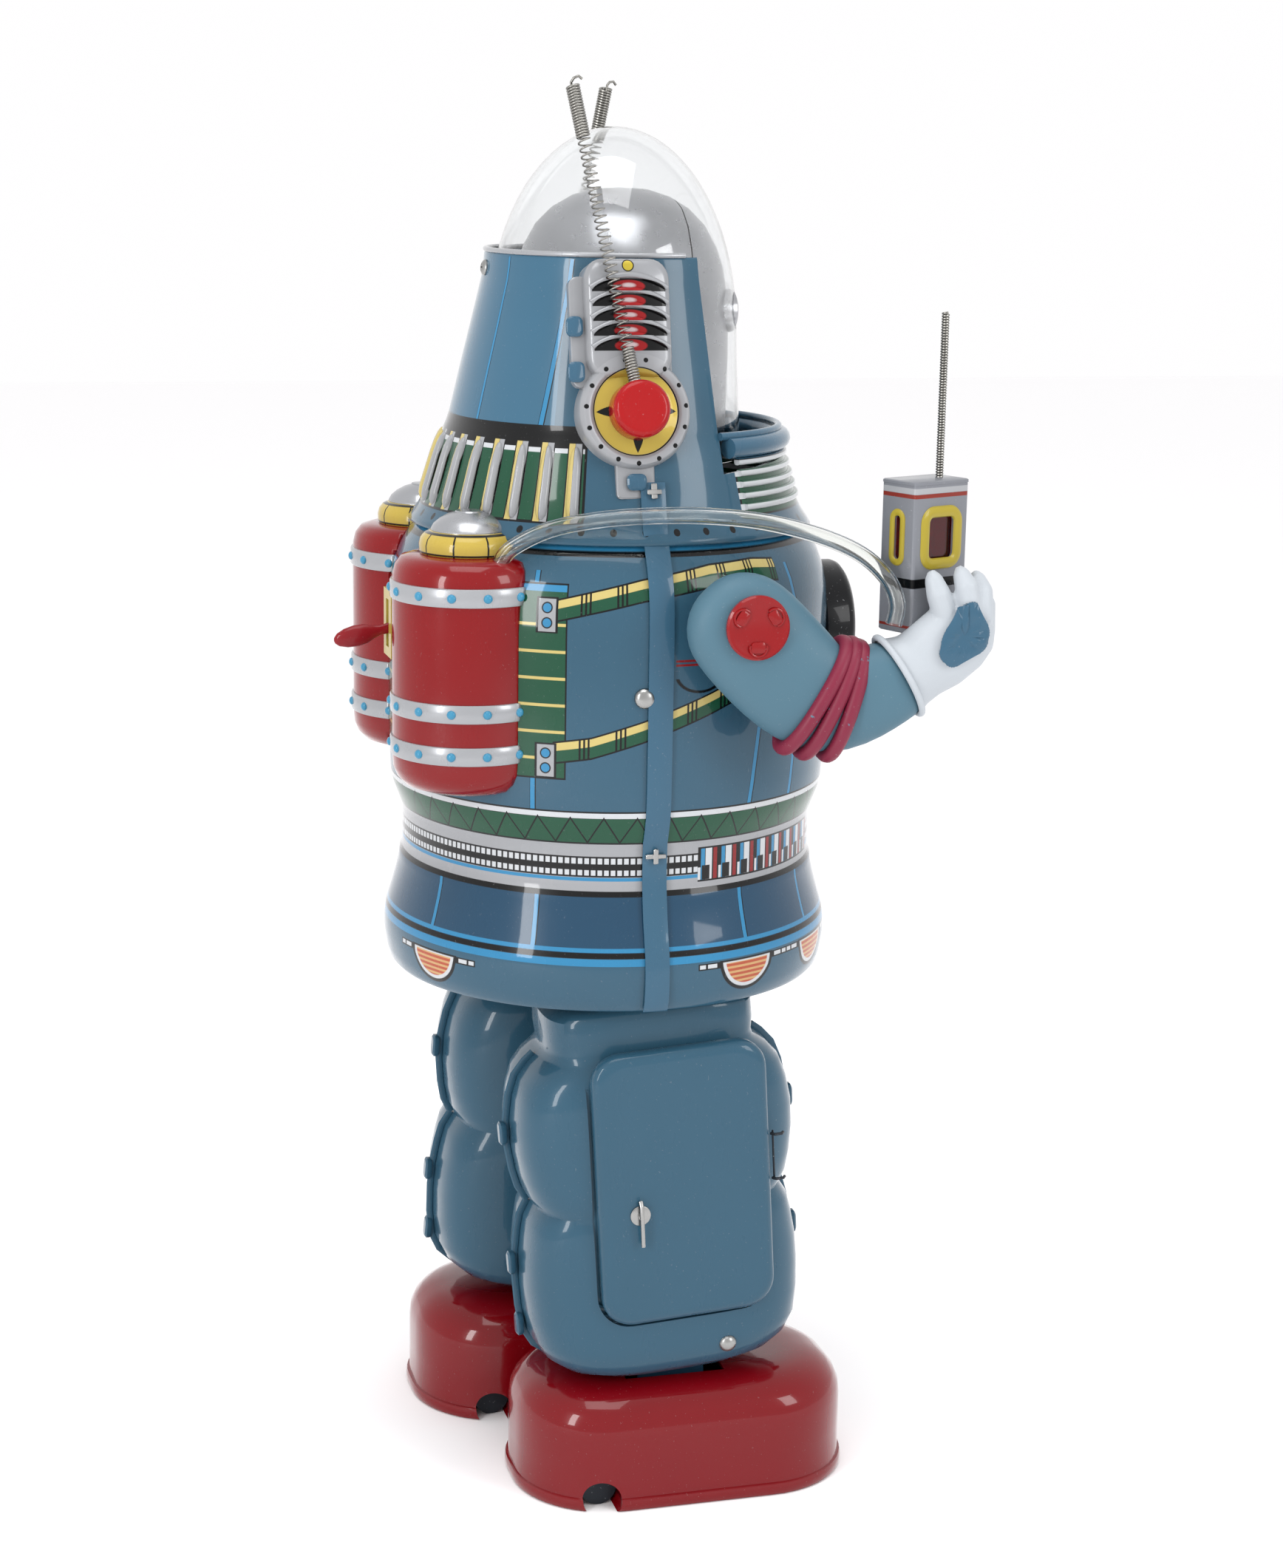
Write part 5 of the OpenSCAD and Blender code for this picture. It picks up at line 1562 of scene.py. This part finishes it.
def frame_ring(name, wide, tall, corner, thick):
    """A rounded frame lying flat, thick across its rim and low in height."""
    line = []
    for cx, cy, start in ((1, 1, 0), (-1, 1, 90), (-1, -1, 180), (1, -1, 270)):
        for step in range(7):
            a = radians(start + 15 * step)
            line.append(
                (cx * (wide / 2 - corner) + corner * cos(a), cy * (tall / 2 - corner) + corner * sin(a), 0)
            )
    piece = rod(name, line, thick, sides=3, closed=True)
    piece.scale = (1, 1, 0.5)
    close_up(piece)
    return piece


frames = joined("radio_frames", [
    in_hand(frame_ring("radio_frame", 9.7, 11.3, 2.4, 1.25), (-5.3, 0, 20.7), (-1, 0, 0)),
    in_hand(frame_ring("radio_frame", 3.2, 10.9, 1.55, 0.75), (0, 8.05, 20.7), (0, 1, 0))
])
coat_in(frames, finish("frame_yellow", enamel(196, 176, 62), rough=0.28, coat=0.7, fade=0.2, dust=0.1))
panes = joined("radio_panes", [
    in_hand(
        pressed("radio_pane", 8, 10, 1, [(-1.0, 0), (-0.6, 0.1)], segments=2), (-5.0, 0, 20.7), (-1, 0, 0)
    ),
    in_hand(
        pressed("radio_pane", 2.4, 10, 1, [(-1.0, 0), (-0.6, 0.1)], segments=2), (0, 7.8, 20.7), (0, 1, 0)
    )
])
coat_in(panes, clear_plastic("window_red", (1.0, 0.06, 0.08, 1), rough=0.08))
whip = coil("radio_whip", 0.62, 0.28, 62, 32.6, 68.4, facets=10)
in_hand(whip, (0, -4, 0))
coat_in(whip, spring_steel)
for piece, slot, node in (
    (box, "radio_grey", "radio_box"), (frames, "radio_window", "radio_windows"), (panes, "radio_window", ""),
    (whip, "spring_wire", "radio_antenna")
):
    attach(piece, "arm_R")
    if node:
        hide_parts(node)

# ---- Air hose ----
# A soft clear tube pushed onto the right tank and onto the right wrist. It arches over the shoulder.
HOSE = [
    (-37.6, 34.2, 219.8), (-38.6, 31.6, 223.2), (-41.5, 24, 227.4), (-45.3, 14, 229.8), (-49.5, 3, 231),
    (-53, -8, 231.2),
    (-55, -20, 230), (-57, -32, 227), (-59, -41, 223), (-62, -46, 218), (-64, -47.6, 213), (-64, -47, 208.5)
]


def smooth_route(points, cuts):
    """A smooth curve through the points."""
    line = []
    for number in range(len(points) - 1):
        a, b = Vector(points[max(number - 1, 0)]), Vector(points[number])
        c, d = Vector(points[number + 1]), Vector(points[min(number + 2, len(points) - 1)])
        for cut in range(cuts):
            u = cut / cuts
            line.append(
                0.5 * (
                    2 * b + (c - a) * u + (
                        2 * a - 5 * b + 4 * c - d
                    ) * u * u + (3 * b - a - 3 * c + d) * u ** 3
                )
            )
    return [*line, Vector(points[-1])]


route = smooth_route(HOSE, 6)
hose = rod("clear_hose", route, 1.85, sides=5)
bore = rod("hose_bore", [2 * route[0] - route[1], *route[1:-1], 2 * route[-1] - route[-2]], 1.15, sides=4)
cut_with(hose, bore)
close_up(hose, keep_edge=50)
coat_in(hose, clear_plastic("hose_vinyl", (0.96, 0.97, 0.95, 1), rough=0.1, index=1.42))
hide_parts("air_hose")
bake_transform(hose)

# ---- Legs ----
# Each leg is two pressed pillows of blue enamelled sheet, an outer and an inner half, tabbed together round a
# flanged seam. They are pinched at the knee and below the hip, and stand on a dark ankle block.
HIP_Y, HIP_Z, LEG_X, STRIDE = -1.5, 126, 26.5, 3.75
LEG = [  # height, half width, half depth
    (29.9, 14, 15), (30.5, 17, 20.5), (32.3, 19, 26), (35, 20.3, 29.4), (39, 20.9, 31.6), (45, 21, 32.5),
    (52, 21, 32.8),
    (58, 21, 32.6), (63.5, 21, 31.8), (67.5, 20.9, 30.9), (69.8, 20.6, 29.6), (71, 20.4, 28.9),
    (72.2, 20.6, 29.6),
    (74.5, 20.9, 30.9), (79, 21, 32), (85, 21, 32.8), (91, 21, 32.8), (97, 21, 31.8), (101.5, 20.6, 30.2),
    (104.6, 19.7, 27.6),
    (106.4, 18.6, 25.4), (107.6, 18, 24.4), (109, 17.6, 24.2), (112, 17.4, 24.6), (116.6, 17.4, 24.4),
    (118.6, 17, 22.4), (119.8, 16, 19)
]
leg_enamel = finish(
    "leg_enamel", enamel(60, 100, 123), rough=0.27, coat=0.75, fade=0.1, smudge=0.1, dust=0.12, ripple=0.8,
    bump=0.1
)


def swung(piece, side):
    """Takes a piece drawn for an upright right leg to its place on either leg."""
    piece.matrix_world = (
        Matrix.Translation((side * LEG_X * MM, HIP_Y * MM, HIP_Z * MM))
        @ Matrix.Rotation(radians(side * STRIDE), 4, "X")
        @ Matrix.Translation((0, 0, -HIP_Z * MM)) @ Matrix.Diagonal((1 if side < 0 else -1, 1, 1, 1))
    )
    close_up(piece)
    return piece


pillow = loft(
    "leg_pillow", [((0, 0, z), (1, 0, 0), (0, 1, 0), wide, deep) for z, wide, deep in LEG], sides=72,
    square=3.6
)
outer, inner = pillow, copy_of(pillow, "leg_inner_half")
outer.name = "leg_outer_half"
trim(outer, (0.0, 0, 0), (1, 0, 0), fill=False)
trim(inner, (0.0, 0, 0), (-1, 0, 0), fill=False)
recess = pressed("door_recess", 42.6, 66.6, 7.8, [(-2.2, 0), (2, 0)], segments=8)
put(recess, (-21.2, -2.6, 78), (-1, 0, 0))
cut_with(outer, recess)
# the recess keeps a narrow ledge round the way to the cell
for face in outer.data.polygons:
    face.select = abs(face.center.x + 19.0 * MM) < 0.1 * MM and abs(face.normal.x) > 0.99
pick(outer)
bpy.ops.object.mode_set(mode="EDIT")
bpy.ops.mesh.select_mode(type="FACE")
bpy.ops.mesh.inset(thickness=3.2 * MM)
bpy.ops.mesh.delete(type="FACE")
bpy.ops.mesh.select_mode(type="VERT")
bpy.ops.object.mode_set(mode="OBJECT")
rims = []
for offset in (-0.5, 0.5):
    for low, high in ((29.9, 71), (71, 107.4)):
        line = []
        inside = [(z, deep) for z, _, deep in LEG if low <= z <= high]
        for z, deep in inside:
            line.append((offset, -deep - 0.75, z))
        back = [(offset, -y, z) for _, y, z in line[::-1]]
        if low < 40:
            line = [(offset, 0, 29.6), (offset, -8, 29.6)] + line
            back = back + [(offset, 8, 29.6)]
        rims.append(rod("seam_rim", line, 0.85, sides=2))
        rims.append(rod("seam_rim", back, 0.85, sides=2))
for rim in rims:
    rim.scale = (0.42, 1, 1)
    rim.location = (0, 0, 0)
    close_up(rim)
outer_rims = [rim for rim in rims if rim.data.vertices[0].co.x < 0]
inner_rims = [rim for rim in rims if rim.data.vertices[0].co.x > 0]
rivet = dome("leg_rivet", 2.1, 1.5, foot=0.6)
put(rivet, (-20.2, -11.6, 36.6), (-1, 0, -0.15))
tabs = []
for deep, z in ((-33.8, 88), (33.8, 88), (32.6, 40.5), (-32.6, 40.5), (33.6, 56), (-33.6, 56)):
    tab = pressed("seam_tab", 3.4, 5.4, 1.1, [(-0.8, 0.3), (-0.3, 0), (0.5, 0), (0.9, 0.5)], segments=3)
    tabs.append(put(tab, (-0.4, deep + (0.7 if deep > 0 else -0.7), z), (0, 1 if deep > 0 else -1, 0)))
outer = joined("leg_outer_half", [*outer_rims, *tabs, outer])
inner = joined("leg_inner_half", [*inner_rims, inner])

# ---- Battery doors and latches ----
# A pressed door with rolled edges sits in a recess on the outer side of each leg, hinged at its front edge
# on two small lugs. A wire latch turns in it to hold it shut. One large cell stands behind it.
door = pressed(
    "battery_door", 41, 65, 7,
    [(-1.4, 0.2), (-1.0, 0), (0.5, 0), (1.3, 0.25), (1.9, 0.75), (2.3, 1.6), (2.45, 2.6)], segments=8
)
put(door, (-20.9, -2.6, 78), (-1, 0, 0))
lugs = []
for z in (87, 76.2):
    lug = rod(
        "door_lug", [(-21.6, -23.6, z), (-22.6, -24.3, z), (-22.3, -26, z - 0.1), (-21.3, -26.6, z - 0.2)],
        0.36, sides=2
    )
    lugs.append(lug)
lugs.append(rod("door_lug", [(-21.4, -24.1, 87.6), (-21.4, -24.1, 75.6)], 0.25, sides=2))
hinge = joined("door_hinge", lugs)
plate = drawn_up(
    "latch_plate", [(0, -0.3), (2.3, -0.3), (2.4, 0), (2.35, 0.35), (2.0, 0.5), (0, 0.5)], sides=40
)
put(plate, (-23.3, 8.5, 72.5), (-1, 0, 0))
wire = rod("latch_wire", [
    (-23.6, 8.5, 75.6), (-24.5, 8.5, 76), (-25, 8.5, 75.2), (-25, 8.5, 72), (-24.9, 8.5, 69),
    (-24.7, 8.5, 65.4)
], 0.5, sides=3)
stem = rod("latch_stem", [(-24.8, 8.5, 72.5), (-21, 8.5, 72.5), (-18.4, 8.5, 72.5)], 0.7, sides=3)
latch = joined("latch_parts", [wire, stem, plate])
cell = drawn_up(
    "cell_can",
    [
        (0, 44), (14.5, 44), (15.6, 44.6), (16, 45.6), (16, 100.2), (15.4, 101.4), (14, 101.8),
        (12.6, 101.2), (6, 101.2), (4.6, 101.5), (4.6, 103.4), (4, 103.9), (0, 104)
    ],
    sides=48, across=(-2, 0)
)
cell_black = finish("cell_black", enamel(38, 38, 42), rough=0.35, coat=0.3, fade=0.3, dust=0.3)
for side, side_name in ((-1, "R"), (1, "L")):
    for first, name, material, body, slot, node in (
        (outer, "leg_outer_cover_", leg_enamel, "leg_", "leg_blue", "leg_outer_"),
        (inner, "leg_inner_cover_", leg_enamel, "leg_", "leg_blue", "leg_inner_"),
        (rivet, "leg_button_", bare_steel, "leg_", "plain_tin", ""),
        (hinge, "door_lugs_", dark_steel, "leg_", "dark_blue", ""),
        (door, "battery_door_", leg_enamel, "door_", "leg_blue", "door_"),
        (latch, "door_catch_", bare_steel, "latch_", "plain_tin", "door_latch_"),
        (cell, "cell_can_", cell_black, "leg_", "cell_black", "battery_")
    ):
        piece = swung(copy_of(first, name + side_name), side)
        coat_in(piece, material)
        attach(piece, body + side_name)
        if node:
            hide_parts(node + side_name)
for first in (outer, inner, rivet, hinge, door, latch, cell):
    bpy.data.objects.remove(first)
ankle_blue = finish("ankle_blue", enamel(44, 78, 102), rough=0.35, coat=0.4, fade=0.2, dust=0.2)
for side_name in "RL":
    coat_in(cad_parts["leg_strap_" + side_name], ankle_blue)

# ---- Feet ----
# A deep red lacquered shell is crimped over a sole plate, whose edge shows as a thin lip. A notch near the
# heel lets the dark steel walking roller touch the floor on each side.
FOOT_W, FOOT_L = 50, 80.6
foot_lacquer = finish(
    "foot_lacquer", enamel(138, 12, 24), rough=0.16, coat=1.0, fade=0.12, smudge=0.1, dust=0.1, ripple=0.7,
    bump=0.1
)
for side, side_name in ((-1, "R"), (1, "L")):
    ankle_y = HIP_Y + side * 6.935
    middle = (side * LEG_X, ankle_y - 3.7, 0)
    upper = pressed(
        "foot_cover_" + side_name, FOOT_W - 1.6, FOOT_L - 1.6, 21.5,
        [
            (2.6, -0.2), (3.6, 0), (10, 0), (17.6, 0), (20.6, 0.35), (23.2, 1.5), (25.2, 3.3), (26.6, 5.4),
            (27.5, 8), (27.9, 11), (28, 14), (28, 17)
        ],
        segments=14
    )
    put(upper, middle)
    modify(upper, "SOLIDIFY", thickness=TIN * MM, offset=-1)
    pick()
    bpy.ops.mesh.primitive_cube_add(size=1, location=(middle[0] * MM, ankle_y * MM, 26 * MM))
    ankle_hole = bpy.context.object
    ankle_hole.scale = (0.027, 0.024, 0.012)
    cut_with(upper, ankle_hole)
    sole = pressed(
        "foot_lip_" + side_name, FOOT_W, FOOT_L, 22.3,
        [(0, 0.9), (0.25, 0.3), (0.9, 0), (2.2, 0), (2.9, 0.2), (3.15, 0.7)], segments=14
    )
    put(sole, middle)
    for piece in (upper, sole):
        cut_with(piece, opening_tool((middle[0], middle[1] + 23.5, 2.8), (1, 0, 0), 4.4, 60))
        close_up(piece)
        coat_in(piece, foot_lacquer)
        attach(piece, "foot_" + side_name)
    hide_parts("foot_shell_" + side_name)
    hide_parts("foot_sole_" + side_name)
    coat_in(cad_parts["foot_roller_" + side_name], dark_steel)
